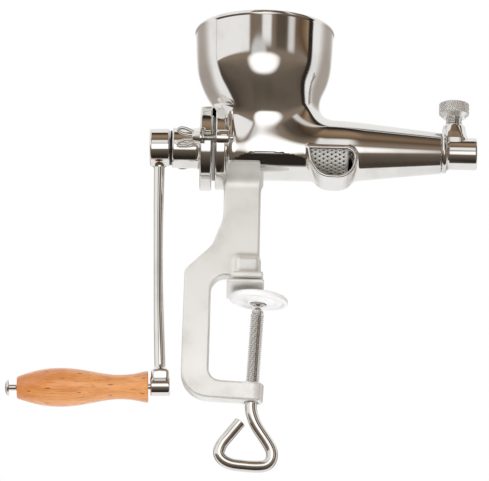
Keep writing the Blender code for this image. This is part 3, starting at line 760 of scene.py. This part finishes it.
def helix_wave(pitch, depth, low, high):
    """Cuts a thread of this pitch and depth between two heights, fading at its ends."""

    def wave(radii, heights, angles):
        turn = heights / pitch - angles / (2 * math.pi)
        saw = np.abs((turn % 1.0) - 0.5) * 2
        groove = np.clip(saw * 1.25 - 0.12, 0, 1)
        fade = np.clip((heights - low) / 1.2, 0, 1) * np.clip((high - heights) / 1.2, 0, 1)
        return radii - depth * groove * fade * (radii > 1.0)

    return wave


def nozzle():
    start, end = nozzle_low.x, nozzle_high.x
    rod = turned(
        "nozzle_rod",
        [
            (9.2, end - 3), (8.6, end - 1.0, 0.3), (9.6, end, 0.4), (12.0, end, 0.6),
            (12.2, end - 1.2, 0.8), (12.2, start + 5.6, 0.6), (13.0, start + 4.2, 1.0),
            (14.9, start + 3.4, 1.0), (15.3, start + 1.6, 1.0), (14.6, start + 0.02, 0.4),
            (12.6, start + 0.02), (8.6, start + 2), (8.6, end - 8),
        ],
        about_x(),
        ring=True,
    )
    boss_top = nozzle_high.z - AXIS_Z

    def squared(radii, heights, angles):
        """The boss's foot has flats where it meets the nozzle; its top is round."""
        flat = 1 / np.maximum(np.abs(np.cos(angles)), np.abs(np.sin(angles)))
        foot = np.clip((boss_top - 2.0 - heights) / 7.0, 0, 1)
        return radii * (1 + (np.minimum(flat, 1.16) - 1) * foot * 0.8)

    boss = turned(
        "boss",
        [
            (PRESSURE_SHANK + 0.4, boss_top - 6), (PRESSURE_SHANK + 0.4, boss_top - 0.4, 0.2),
            (PRESSURE_SHANK + 1.0, boss_top, 0.3), (7.9, boss_top, 0.6), (8.6, boss_top - 1.6, 0.8),
            (9.4, boss_top - 7.0, 3.0), (10.6, boss_top - 12.0, 3.0), (10.6, 2.0),
            (PRESSURE_SHANK + 0.4, 2.0),
        ],
        shift(PRESSURE_X, 0, AXIS_Z),
        wave=squared,
        ring=True,
    )
    link("nozzle", joined("nozzle", [rod, boss]), MIRROR, "frame", "mirror_steel", "nozzle_end")


PRESSURE_SHANK = 6.2
head_low, head_high = node_box("adjusting_screw")
HEAD_RADIUS = (head_high.y - head_low.y) / 2
HEAD_TOP = head_high.z - AXIS_Z
# Clear of the nozzle's wall when the screw is at its lowest.
SCREW_FOOT = 16.9


def pressure_screw():
    def knurl(radii, heights, angles):
        """Crossed grooves over the head's straight band."""
        band = (radii > HEAD_RADIUS - 0.45).astype(float)
        count, pitch = 44, 1.62
        around, up = angles * count / (2 * math.pi), heights / pitch
        one = np.abs(((around + up) % 1) - 0.5) * 2
        two = np.abs(((around - up) % 1) - 0.5) * 2
        groove = np.maximum(np.clip(one * 2.2 - 1.2, 0, 1), np.clip(two * 2.2 - 1.2, 0, 1))
        return radii - 0.5 * groove * band

    low_band, high_band = 31.0, HEAD_TOP - 1.7
    rows = [(HEAD_RADIUS - 0.05, h, 0) for h in np.linspace(high_band, low_band, 46)]
    top = turned(
        "head",
        [
            (0, HEAD_TOP), (HEAD_RADIUS * 0.6, HEAD_TOP - 0.3, 3),
            (HEAD_RADIUS - 1.4, HEAD_TOP - 0.7, 0.8), (HEAD_RADIUS - 0.5, high_band + 0.4, 0.2),
            *rows,
            (HEAD_RADIUS - 0.5, low_band - 0.2, 0.2), (8.2, 28.2, 0.6),
            (PRESSURE_SHANK - 0.3, 27.9),
        ],
        shift(PRESSURE_X, 0, AXIS_Z),
        sides=440,
        wave=knurl,
    )
    reach = head_low.z - AXIS_Z
    foot = max(reach, SCREW_FOOT)
    heights = np.arange(28.2, foot + 0.6, -0.16)
    shank = turned(
        "shank",
        [(4.4, 28.3), *[(PRESSURE_SHANK, h, 0) for h in heights], (4.8, foot), (0, foot)],
        shift(PRESSURE_X, 0, AXIS_Z),
        sides=64,
        wave=helix_wave(1.75, 0.95, foot + 0.5, 27.6),
    )
    link("knurled_head", top, KNURL, "adjusting_screw", "mirror_steel", "adjusting_screw")
    link("pressure_screw", shank, THREAD, "adjusting_screw", "mirror_steel", "adjusting_screw")
    pin_low, pin_high = node_box("pressure_pin")
    pin = turned(
        "pin",
        [
            (0, pin_high.z - AXIS_Z), (1.8, pin_high.z - AXIS_Z, 0.3), (1.8, reach - 0.4, 0.1),
            (5.8, reach - 0.4, 0.3), (5.8, 8.0, 0.5), (4.8, 7.0, 0.5), (0, 7.0),
        ],
        shift(PRESSURE_X, 0, AXIS_Z),
        sides=48,
    )
    link("pressure_plug", pin, BRIGHT, "pressure_pin", "mirror_steel", "pressure_pin")


def juice_screen():
    """A sheet with staggered round holes, rolled into a sleeve inside the barrel."""
    low, high = node_box("juice_screen")
    radius = SCREEN_RADIUS - 0.35
    column = 3.06
    columns = int((high.x - low.x - 1.6) / column)
    rows = 36
    row = 2 * math.pi * radius / rows
    hole, corners = 0.80, 12
    work = bmesh.new()
    margin = (high.x - low.x - columns * column) / 2

    def on_sleeve(x, along):
        angle = along / radius
        return Vector((x, -radius * math.cos(angle), AXIS_Z - radius * math.sin(angle))) * MM

    for i in range(columns):
        lift = 0.5 * row * (i % 2)
        for j in range(rows):
            cx, cy = low.x + margin + (i + 0.5) * column, j * row + lift
            ring, frame_ring = [], []
            for k in range(corners):
                angle = 2 * math.pi * k / corners
                c, s = math.cos(angle), math.sin(angle)
                ring.append(work.verts.new(on_sleeve(cx + hole * c, cy + hole * s)))
                reach = 1 / max(abs(c) / (column / 2), abs(s) / (row / 2))
                frame_ring.append(work.verts.new(on_sleeve(cx + reach * c, cy + reach * s)))
            for k in range(corners):
                m = (k + 1) % corners
                work.faces.new((ring[k], ring[m], frame_ring[m], frame_ring[k]))
            for sx in (-1, 1):
                for sy in (-1, 1):
                    turn = (math.atan2(sy * row, sx * column) % (2 * math.pi)) / (2 * math.pi)
                    k = round(turn * corners - 0.5)
                    a, b = frame_ring[k % corners], frame_ring[(k + 1) % corners]
                    tip = work.verts.new(on_sleeve(cx + sx * column / 2, cy + sy * row / 2))
                    work.faces.new((a, b, tip))
    for start, end in ((low.x, low.x + margin), (high.x - margin, high.x)):
        for j in range(rows * 2):
            a, b = j * row / 2, (j + 1) * row / 2
            corners_of = [on_sleeve(start, a), on_sleeve(end, a), on_sleeve(end, b), on_sleeve(start, b)]
            work.faces.new([work.verts.new(p) for p in corners_of])
    bmesh.ops.remove_doubles(work, verts=work.verts, dist=0.00002)
    bmesh.ops.recalc_face_normals(work, faces=work.faces)
    mesh = bpy.data.meshes.new("screen")
    work.to_mesh(mesh)
    work.free()
    made = link("perforated_screen", mesh, SCREEN, "frame", "satin_steel", smooth_angle=50)
    wall = made.modifiers.new("Wall", "SOLIDIFY")
    wall.thickness = 0.7 * MM
    wall.offset = 0
    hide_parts("juice_screen")


# --- Rear end ------------------------------------------------------------------------------------


def cap_field(x, y, z):
    """The cap's plate, its hub and the fillet between them, with slots for the studs."""
    across = np.hypot(y, z - AXIS_Z)
    plate_low, plate_high = cap_high.x - 8.9, cap_high.x
    middle, half = (plate_low + plate_high) / 2, (plate_high - plate_low) / 2
    plate = rounded_rod(across, x - middle, 32.0, half, 1.2)
    hub = rounded_rod(across, x - (cap_low.x + 13), 15.2, 13, 1.2)
    whole = blend_union(plate, hub, 4.0)
    side = np.abs(y) - STUD_OFFSET
    slot = np.where(side < 0, np.hypot(side, z - AXIS_Z), np.abs(z - AXIS_Z)) - 3.3
    pocket = np.maximum(np.hypot(side, z - AXIS_Z) - 7.0, x - plate_high + 5.7)
    whole = blend_cut(whole, np.minimum(slot, pocket), 0.6)
    return blend_cut(whole, across - 11.0, 0.6)


def rear_cap():
    low = (cap_low.x - 1.5, -34, AXIS_Z - 34)
    high = (cap_high.x + 1.5, 34, AXIS_Z + 34)
    mesh = skin("cap_skin", cap_field, low, high, 0.8, (0.11, 0.07, 0.05))
    link("bearing_cap", mesh, MIRROR, "frame", "mirror_steel", "rear_cap", smooth_angle=None)

    bush_low, bush_high = node_box("shaft_bush")
    bush = turned(
        "bush",
        [
            (10.8, bush_high.x), (10.8, cap_low.x - CLEAR, 0.2), (13.2, cap_low.x - CLEAR, 0.3),
            (13.2, bush_low.x, 0.4), (8.3, bush_low.x, 0.4), (8.3, bush_high.x, 0.2),
        ],
        about_x(),
        ring=True,
    )
    link("flanged_bush", bush, BUSH, "frame", "bush_plastic", "shaft_bush")

    seal_low, seal_high = node_box("seal_ring")
    seal = turned(
        "seal",
        [
            (24.2, seal_low.x, 0.4), (24.2, seal_high.x, 0.4), (21.2, seal_high.x, 0.4),
            (21.2, seal_low.x, 0.4),
        ],
        about_x(),
        ring=True,
    )
    link("seal", seal, SEAL, "frame", "seal_rubber", "seal_ring")


def fixing(label, side):
    """A threaded stud, its washer, and a wing nut with two looped wings."""
    y = side * STUD_OFFSET
    low, high = node_box(f"stud_{label}")
    heights = np.arange(high.x - 0.5, low.x + 0.5, -0.13)
    stud = turned(
        "stud",
        [
            (0, high.x), (STUD_RADIUS - 0.5, high.x),
            *[(STUD_RADIUS, h, 0) for h in heights],
            (STUD_RADIUS - 0.5, low.x), (0, low.x),
        ],
        about_x(y),
        sides=32,
        wave=helix_wave(0.8, 0.4, low.x + 0.4, low.x + 18),
    )
    link(f"threaded_stud_{label}", stud, BRIGHT, "frame", "mirror_steel", f"stud_{label}")

    low, high = node_box(f"washer_{label}")
    washer = turned(
        "washer",
        [(5.6, high.x, 0.3), (5.6, low.x, 0.4), (2.75, low.x, 0.2), (2.75, high.x, 0.2)],
        about_x(y),
        sides=56,
        ring=True,
    )
    link(f"flat_washer_{label}", washer, BRIGHT, f"washer_{label}", "mirror_steel", f"washer_{label}")

    nut = f"wing_nut_{label}"
    low, high = node_box(nut)
    top = high.x
    hub = turned(
        "hub",
        [
            (5.4, top, 0.3), (5.4, top - 1.6, 0.5), (4.4, top - 5.6, 1.0), (4.0, top - 7.4, 0.8),
            (2.7, top - 7.4, 0.3), (2.7, top, 0.3),
        ],
        about_x(y),
        sides=56,
        ring=True,
    )
    pieces = [hub]
    for wing in (-1, 1):
        route = [
            (wing * 2.0, 0, -2.6), (wing * 1.8, 0, -7.0), (wing * 2.4, 0, -11.6),
            (wing * 3.8, 0, -15.2), (wing * 5.6, 0, -16.6), (wing * 7.1, 0, -14.8),
            (wing * 6.9, 0, -11.2), (wing * 5.2, 0, -7.2), (wing * 3.6, 0, -4.4),
            (wing * 2.8, 0, -2.4),
        ]
        place = shift(top - 1.5, y, AXIS_Z) @ Matrix.Rotation(math.pi / 2, 4, "Y")
        pieces.append(tube("wing", catmull(route, 6), 1.25, sides=14, place=place))
    whole = joined("wing_nut", pieces)
    link(f"looped_{nut}", whole, BRIGHT, nut, "mirror_steel", nut)


# --- Crank and grip ------------------------------------------------------------------------------

CRANK_PLACE = shift(HUB_X, 0, AXIS_Z) @ Matrix.Rotation(-CRANK_LEAN, 4, "Y")
CRANK_RADIUS = 187.3
GRIP_NEAR = -8.8
GRIP_LENGTH = 97.6
END_PLAY = 5.7


def crank_field(x, y, z):
    """Hub, rod, block and eye of the crank as one skin, in the crank's own frame."""
    half = (hub_high.x - hub_low.x) / 2
    hub = rounded_rod(np.hypot(y, z), x, HUB_RADIUS, half, 1.3)
    foot = -(CRANK_RADIUS - 12.0)
    t = np.clip(z / foot, 0, 1)
    thick = 3.75 + 0.35 * np.cos(2 * math.pi * t)
    rod = np.hypot(x + 1.3 * np.sin(math.pi * t), y) - thick
    rod = np.maximum(rod, np.maximum(foot - z, z + 6))
    block = rounded_box(x, y, z, (0, 0, -(CRANK_RADIUS - 7.5)), (6.7, 6.0, 5.6), 2.6)
    eye = rounded_rod(np.hypot(y, z + CRANK_RADIUS), x, 6.8, 7.1, 0.7)
    whole = blend_union(hub, rod, 3.0)
    foot_part = blend_union(block, eye, 1.6)
    whole = blend_union(whole, foot_part, 3.2)
    recess = np.maximum(np.hypot(y, z) - 5.3, x + half - 3.2)
    return blend_cut(whole, recess, 0.5)


def crank():
    half = (hub_high.x - hub_low.x) / 2
    low = (-half - 1.5, -HUB_RADIUS - 1.5, -CRANK_RADIUS - 8.5)
    high = (half + 1.5, HUB_RADIUS + 1.5, HUB_RADIUS + 1.5)
    mesh = skin("crank_skin", crank_field, low, high, 0.85, (0.1, 0.05, 0.12))
    mesh.transform(metres(CRANK_PLACE))
    link(
        "crank_forging", mesh, MIRROR, "crank", "mirror_steel",
        "crank_hub", "crank_arm", "crank_eye", smooth_angle=None,
    )

    rear = hub_low.x
    screw = turned(
        "screw",
        [
            (0, rear + 1.0), (1.6, rear + 1.0, 0.2), (1.9, rear + 0.1, 0.2), (4.1, rear + 0.2, 0.6),
            (5.0, rear + 1.2, 0.4), (5.0, rear + 2.8), (0, rear + 2.8),
        ],
        about_x(),
        sides=48,
    )
    link("retaining_screw", screw, BRIGHT, "crank", "mirror_steel", "crank_screw")

    lie = CRANK_PLACE @ shift(0, 0, -CRANK_RADIUS) @ Matrix.Rotation(math.pi / 2, 4, "Y")
    far = GRIP_NEAR - GRIP_LENGTH
    head = far - END_PLAY - CLEAR
    bolt = turned(
        "bolt",
        [
            (0, 7.1), (2.1, 7.1, 0.3), (2.4, 6.7, 0.3), (2.4, head, 0.4), (5.9, head, 0.3),
            (6.2, head - 0.5, 0.3), (5.6, head - 1.5, 1.5), (3.4, head - 2.7, 4.0), (0, head - 3.2),
        ],
        lie,
        sides=72,
    )
    link("grip_pin", bolt, MIRROR, "crank", "mirror_steel", "grip_bolt")
    sleeve = turned(
        "sleeve",
        [
            (3.6, GRIP_NEAR - 0.4, 0.1), (3.6, far + 0.4, 0.1),
            (2.7, far + 0.4, 0.1), (2.7, GRIP_NEAR - 0.4, 0.1),
        ],
        lie,
        sides=40,
        ring=True,
    )
    link("grip_tube", sleeve, BRIGHT, "grip_sleeve", "satin_steel", "grip_sleeve")

    stations = spline_table(
        [
            (0.0, 11.9), (3.0, 11.5), (8.0, 10.4), (15.0, 9.4), (23.5, 9.15), (33.0, 10.2),
            (44.0, 12.2), (55.0, 13.9), (65.0, 14.5), (75.0, 13.95), (85.0, 12.1), (92.5, 9.9),
            (GRIP_LENGTH, 8.2),
        ],
        120,
    )
    side = [(float(r), GRIP_NEAR - float(s), 0) for s, r in zip(stations[0], stations[1])]
    grip = turned(
        "grip",
        [
            (3.9, GRIP_NEAR - 3, 0.1), (3.9, GRIP_NEAR, 0.3), (side[0][0] - 0.5, GRIP_NEAR, 0.3),
            *side[1:-1],
            (7.7, far, 0.5), (3.9, far, 0.3), (3.9, far + 3, 0.1),
        ],
        lie,
        sides=112,
        ring=True,
    )
    link("beech_grip", grip, WOOD, "grip", "grip_wood", "grip")


# --- Clamp ---------------------------------------------------------------------------------------

CLAMP_OUTLINE = corner_arcs(
    [
        (-16.0, 96.0, 0), (-16.0, 55.0, 26), (-24.0, 34.0, 14), (-44.2, 14.5, 7),
        (-45.4, -84.0, 21), (14.0, -86.4, 1.5), (14.6, -72.4, 1.5), (-24.6, -70.4, 9),
        (-24.2, 10.2, 11), (11.7, 10.2, 0), (11.7, 96.0, 0),
    ]
)


def clamp_field(x, y, z):
    flat = outline_distance(x, z, CLAMP_OUTLINE)
    plate = extruded(flat, y, 7.0, 1.8)
    jaw = rounded_box(x, y, z, (2.9, 0, 16.0), (8.7, 14.5, 7.4), 3.0)
    whole = blend_union(plate, jaw, 5.0)
    flange = rounded_box(x, y, z, (2.9, 0, 6.8), (11.7, 22.4, 2.3), 1.4)
    whole = blend_union(whole, flange, 4.5)
    along = z + 79.3
    across = np.hypot(x - 7.95 - along * math.tan(SCREW_LEAN), y)
    boss = rounded_rod(across, along + 0.05 * (x - 8), 8.6, 6.9, 1.2)
    whole = blend_union(whole, boss, 2.5)
    barrel = np.hypot(y, z - AXIS_Z)
    root = np.maximum(barrel - BARREL_RADIUS - 2.0, np.abs(x + 2.2) - 13.0)
    whole = blend_union(whole, np.maximum(root, z - 96.0), 9.0)
    whole = np.maximum(whole, BARREL_RADIUS - 1.2 - barrel)
    tapped = np.hypot(x - BALL.x - (z - BALL.z) * math.tan(SCREW_LEAN), y) - 5.2
    return blend_cut(whole, tapped, 0.6)


def clamp_frame():
    low = (-46.5, -25, -90)
    high = (20, 25, 97)
    mesh = skin("clamp_skin", clamp_field, low, high, 1.0, (0.12, 0.08, 0.15))
    link("clamp_bracket", mesh, SATIN, "frame", "satin_steel", "clamp_frame", smooth_angle=None)


def pad_field(x, y, z):
    plate = rounded_box(x, y, z, (1.5, 0, 1.35), (13.9, 23.0, 1.35), 0.9)
    land = rounded_box(x, y, z, (1.5, 0, 2.8), (10.5, 19.0, 1.5), 0.5)
    return blend_union(plate, land, 0.8)


def jaw_pad():
    mesh = skin("pad_skin", pad_field, (-14, -25, -1), (17, 25, 5.5), 0.6, (0.1, 0.1, 0.1))
    link("jaw_plate", mesh, SATIN, "frame", "satin_steel", "jaw_pad", smooth_angle=None)


def clamp_screw():
    """Ball, collar and thread, then the rod bent into an open triangular loop."""
    place = shift(*BALL) @ Matrix.Rotation(SCREW_LEAN, 4, "Y")
    thread_low, thread_high = -66.3, -9.0
    heights = np.arange(thread_high, thread_low, -0.14)
    shaft = turned(
        "shaft",
        [
            (0, 3.0),
            *[(3.0 * math.sin(a), 3.0 * math.cos(a), 0) for a in np.linspace(0.3, 2.45, 14)],
            (1.9, -3.6, 0.4), (4.3, -5.6, 0.5), (4.4, -7.4, 0.4), (3.7, -7.9, 0.3),
            (3.7, -8.5, 0.3), (4.9, -8.9, 0.1),
            *[(5.0, h, 0) for h in heights],
            (4.5, -66.9, 0.3), (4.5, -76.0, 0),
        ],
        place,
        sides=72,
        wave=helix_wave(1.5, 0.92, thread_low, thread_high),
    )
    down = Vector((-math.sin(SCREW_LEAN), 0, -math.cos(SCREW_LEAN)))
    route = [
        BALL + down * 75.5,
        BALL + down * 80.0,
        (8.6, 0, -96.0), (12.1, 0, -104.4), (20.4, 0, -117.0), (23.6, 0, -123.6), (23.3, 0, -129.8),
        (19.6, 0, -134.2), (13.0, 0, -135.3), (4.0, 0, -134.95), (-6.0, 0, -133.8),
        (-12.4, 0, -130.6), (-15.4, 0, -125.4), (-13.6, 0, -118.8), (-8.2, 0, -111.6),
        (-0.4, 0, -101.6),
    ]
    loop = tube("loop", catmull(route, 10), 4.5, sides=40, ends=0.4)
    link("screw_loop", loop, BRIGHT, "clamp_screw", "mirror_steel", "clamp_screw")
    link("screw_thread", shaft, THREAD, "clamp_screw", "mirror_steel", "clamp_screw")


def swivel_disc():
    socket_place = shift(*BALL) @ Matrix.Rotation(SCREW_LEAN, 4, "Y")
    socket = turned(
        "socket",
        [
            (0, 3.9), (5.0, 3.9, 0.6), (5.0, -1.2, 0.4), (4.6, -1.6, 0.3), (3.5, -1.6, 0.3),
            (3.3, -0.9, 0.3), (3.3, 3.3, 0.4), (0, 3.3),
        ],
        socket_place,
        sides=64,
    )
    link("ball_socket", socket, TURNED, "pad_socket", "satin_steel", "pad_socket")
    radius = 21.9
    disc = turned(
        "disc",
        [
            (0, 5.6), (radius - 1.2, 5.4, 0.8), (radius, 4.3, 1.0), (radius, 1.7, 0.9),
            (radius - 1.4, 0.8, 0.9), (radius - 2.8, 0.95, 0.8), (radius - 4.0, 2.2, 1.6),
            (12.4, 2.35, 1.6), (9.6, 0.9, 1.4), (8.0, -0.35, 0.6), (6.6, -0.4, 0.5),
            (6.0, 0.4, 0.4), (6.0, 4.7, 0.4), (0, 4.7),
        ],
        shift(*BALL) @ Matrix.Rotation(math.radians(4.8), 4, "Y"),
        sides=120,
    )
    link("nylon_disc", disc, NYLON, "swivel_disc", "pad_plastic", "swivel_disc")


# --- Light, floor and camera ---------------------------------------------------------------------


def shade(level, warmth):
    """A warm grey seen on the steel, of 255, as the light that the steel mirrors there."""
    seen = (level * (1 - warmth * step) / 255 for step in range(3))
    return (*(((c + 0.055) / 1.055) ** 2.4 / 0.8 for c in seen), 1)


# The studio's tones, as (level, warmth). The object stands at the mouth of a white tent, which
# fills everything behind it; its dark borders and a brown room lie in front.
TENT = (225, 0.0)
TENT_BORDER = (40, 0.1)
ROOM_FOOT = (85, 0.1)
ROOM_WALL = (125, 0.1)
ROOM_RAIL = (90, 0.2)
ROOM_TOP = (140, 0.15)

# Elevation in degrees, over the front from straight behind to straight behind again.
ROOM = (
    (-180, TENT), (-92, TENT), (-86, TENT_BORDER), (-70, TENT_BORDER), (-40, ROOM_FOOT),
    (-10, ROOM_WALL), (10, ROOM_WALL), (30, ROOM_RAIL), (50, ROOM_TOP), (60, ROOM_TOP),
    (75, TENT_BORDER), (84, TENT_BORDER), (90, TENT), (180, TENT),
)


def panel(name, place, half, light):
    """A softly edged light that the steel mirrors and the camera doesn't see."""
    data = bpy.data.meshes.new(name)
    data.from_pydata([(-1, 0, -1), (1, 0, -1), (1, 0, 1), (-1, 0, 1)], [], [(0, 1, 2, 3)])
    made = bpy.data.objects.new(name, data)
    made.location = place
    made.scale = (half[0], 1, half[1])
    made.visible_camera = False
    made.visible_diffuse = False
    made.visible_shadow = False
    bpy.context.scene.collection.objects.link(made)
    look = bpy.data.materials.new(name + "_look")
    look.use_nodes = True
    n = Nodes(look.node_tree)
    look.node_tree.nodes.clear()
    split = n.add("ShaderNodeSeparateXYZ")
    n.put(split.inputs[0], n.add("ShaderNodeTexCoord").outputs["Object"])
    across = n.math("POWER", n.math("ABSOLUTE", split.outputs[0]), 2.5)
    upward = n.math("POWER", n.math("ABSOLUTE", split.outputs[2]), 2.5)
    fade = n.step(n.math("ADD", across, upward), 1.0, 0.2)
    glow = n.add("ShaderNodeEmission")
    glow.inputs["Strength"].default_value = light
    blend = n.add("ShaderNodeMixShader")
    n.put(blend.inputs[0], fade)
    n.put(blend.inputs[1], n.add("ShaderNodeBsdfTransparent").outputs[0])
    n.put(blend.inputs[2], glow.outputs[0])
    n.put(n.add("ShaderNodeOutputMaterial").inputs[0], blend.outputs[0])
    data.materials.append(look)


def studio():
    """A white tent with a darker room in front of it, as polished steel needs something to mirror."""
    world = bpy.data.worlds.new("studio")
    bpy.context.scene.world = world
    world.use_nodes = True
    tree = world.node_tree
    tree.nodes.clear()
    n = Nodes(tree)
    coords = n.add("ShaderNodeTexCoord")
    split = n.add("ShaderNodeSeparateXYZ")
    n.put(split.inputs[0], coords.outputs["Generated"])
    x, y, z = split.outputs
    ahead = n.times(y, -1.0)
    elevation = n.times(n.math("ARCTAN2", z, ahead), 180 / math.pi)
    azimuth = n.times(n.math("ARCTAN2", x, ahead), 180 / math.pi)

    ramp = n.add("ShaderNodeValToRGB")
    n.put(ramp.inputs[0], n.math("MULTIPLY_ADD", elevation, 1 / 360, 0.5))
    stops = ramp.color_ramp.elements
    for stop, (height, tone) in zip((stops[0], stops[1]), (ROOM[0], ROOM[-1])):
        stop.position = height / 360 + 0.5
        stop.color = shade(*tone)
    for height, tone in ROOM[1:-1]:
        stops.new(height / 360 + 0.5).color = shade(*tone)
    sky = ramp.outputs[0]

    off_centre = n.math("MAXIMUM", n.step(azimuth, -20, -36), n.step(azimuth, 12, 26))
    low = n.times(n.step(elevation, -30, -44), n.step(elevation, -92, -86))
    sky = n.mix(n.times(low, off_centre, 0.2), sky, shade(*ROOM_WALL))
    front = n.times(n.step(ahead, 0.01, 0.04), n.step(elevation, 88, 80))
    slit = n.times(n.step(azimuth, -7, -2), n.step(azimuth, 13, 8))
    slit = n.times(slit, n.step(elevation, 4, 12))
    sky = n.mix(n.times(slit, n.step(elevation, 34, 24)), sky, shade(*TENT))
    shadow = n.times(n.step(azimuth, 14, 22), n.step(azimuth, 44, 32))
    sky = n.mix(n.times(shadow, n.step(elevation, 0, 10, 0.0, 0.6)), sky, shade(*TENT_BORDER))
    stripe = n.times(n.step(azimuth, 36, 43), n.step(azimuth, 54, 47))
    sky = n.mix(n.times(stripe, n.step(elevation, 0, 10, 0.0, 0.7)), sky, shade(*TENT))
    left = n.times(n.step(azimuth, -23, -28), front, n.step(elevation, -2, 5))
    sky = n.mix(left, sky, shade(*TENT))
    edge = n.times(n.step(azimuth, 76, 80), front, n.step(azimuth, 89, 86))
    sky = n.mix(edge, sky, shade(*TENT_BORDER))
    sweep = n.math("MAXIMUM", n.step(azimuth, 86, 90), n.step(azimuth, -86, -92))
    sky = n.mix(sweep, sky, shade(*TENT))

    behind_left = n.times(n.math("SUBTRACT", y, x), 0.707)
    behind_right = n.times(n.math("ADD", y, x), 0.707)
    corners = n.math("MAXIMUM", n.step(behind_left, 0.80, 0.97), n.step(behind_right, 0.80, 0.97))
    sky = n.mix(n.times(corners, 0.75), sky, shade(*ROOM_WALL))

    path = n.add("ShaderNodeLightPath")
    background = n.mix(path.outputs["Is Camera Ray"], sky, (1, 1, 1, 1))
    shader = n.add("ShaderNodeBackground")
    n.put(shader.inputs["Color"], background)
    out = n.add("ShaderNodeOutputWorld")
    n.put(out.inputs[0], shader.outputs[0])

    def lamp(name, place, size, power, colour=(1, 1, 1)):
        data = bpy.data.lights.new(name, "AREA")
        data.shape = "RECTANGLE"
        data.size, data.size_y = size
        data.energy = power
        data.color = colour
        made = bpy.data.objects.new(name, data)
        made.location = place
        aim = Vector((0, 0, 0.05)) - Vector(place)
        made.rotation_euler = aim.to_track_quat("-Z", "Y").to_euler()
        made.visible_glossy = False
        bpy.context.scene.collection.objects.link(made)

    lamp("key_softbox", (-0.8, -1.5, 0.7), (0.7, 0.7), 11.5)
    lamp("top_softbox", (0.3, 0.2, 1.5), (1.0, 1.0), 12.0)
    lamp("low_softbox", (0.4, -1.1, -0.9), (0.7, 0.7), 7.0)
    panel("near_panel", (0.0, -0.62, -0.01), (0.36, 0.20), 1.35)
    panel("upper_panel", (-0.10, -0.64, 0.19), (0.17, 0.15), 0.7)

    data = bpy.data.meshes.new("floor")
    reach, depth = 6.0, FLOOR_Z
    corners = [(x * reach, y * reach, depth) for x, y in ((-1, -1), (1, -1), (1, 1), (-1, 1))]
    data.from_pydata(corners, [], [(0, 1, 2, 3)])
    floor = bpy.data.objects.new("floor", data)
    bpy.context.scene.collection.objects.link(floor)
    look, n, shader = material("floor_look", (0.86, 0.86, 0.85), 0.6, Emission_Strength=0.16)
    grain = n.noise(n.stretched((1, 1, 1)), 30.0)
    n.put(shader.inputs["Base Color"], n.mix(grain, (0.84, 0.84, 0.83, 1), (0.88, 0.88, 0.87, 1)))
    data.materials.append(look)
    floor.visible_glossy = False


FLOOR_Z = -1.25
CAMERA_DISTANCE = 3.4
CAMERA_ELEVATION = -17.0
CAMERA_AZIMUTH = 0.0
CAMERA_ROLL = 1.2
VIEW_WIDTH = 0.3675
VIEW_CENTRE = (0.0002, 0.0, 0.0395)


def camera():
    data = bpy.data.cameras.new("camera")
    data.lens_unit = "FOV"
    data.sensor_fit = "HORIZONTAL"
    data.angle = 2 * math.atan(VIEW_WIDTH / 2 / CAMERA_DISTANCE)
    data.clip_end = 30
    made = bpy.data.objects.new("camera", data)
    e, a = math.radians(CAMERA_ELEVATION), math.radians(CAMERA_AZIMUTH)
    away = Vector((math.sin(a) * math.cos(e), -math.cos(a) * math.cos(e), math.sin(e)))
    aim = Vector(VIEW_CENTRE)
    made.location = aim + away * CAMERA_DISTANCE
    turn = (-away).to_track_quat("-Z", "Y").to_matrix().to_4x4()
    turn = turn @ Matrix.Rotation(math.radians(CAMERA_ROLL), 4, "Z")
    made.rotation_euler = turn.to_euler()
    bpy.context.scene.collection.objects.link(made)
    bpy.context.scene.camera = made


body_casting()
nozzle()
pressure_screw()
juice_screen()
rear_cap()
fixing("near", -1)
fixing("far", 1)
crank()
clamp_frame()
jaw_pad()
clamp_screw()
swivel_disc()
# The auger wears the darkened steel, as painted shade for the inside of the barrel.
frame["nodes"]["auger"].material_slots[0].material = AUGER_PAINTED_SHADE
bpy.context.scene.view_settings.view_transform = "Standard"
studio()
camera()
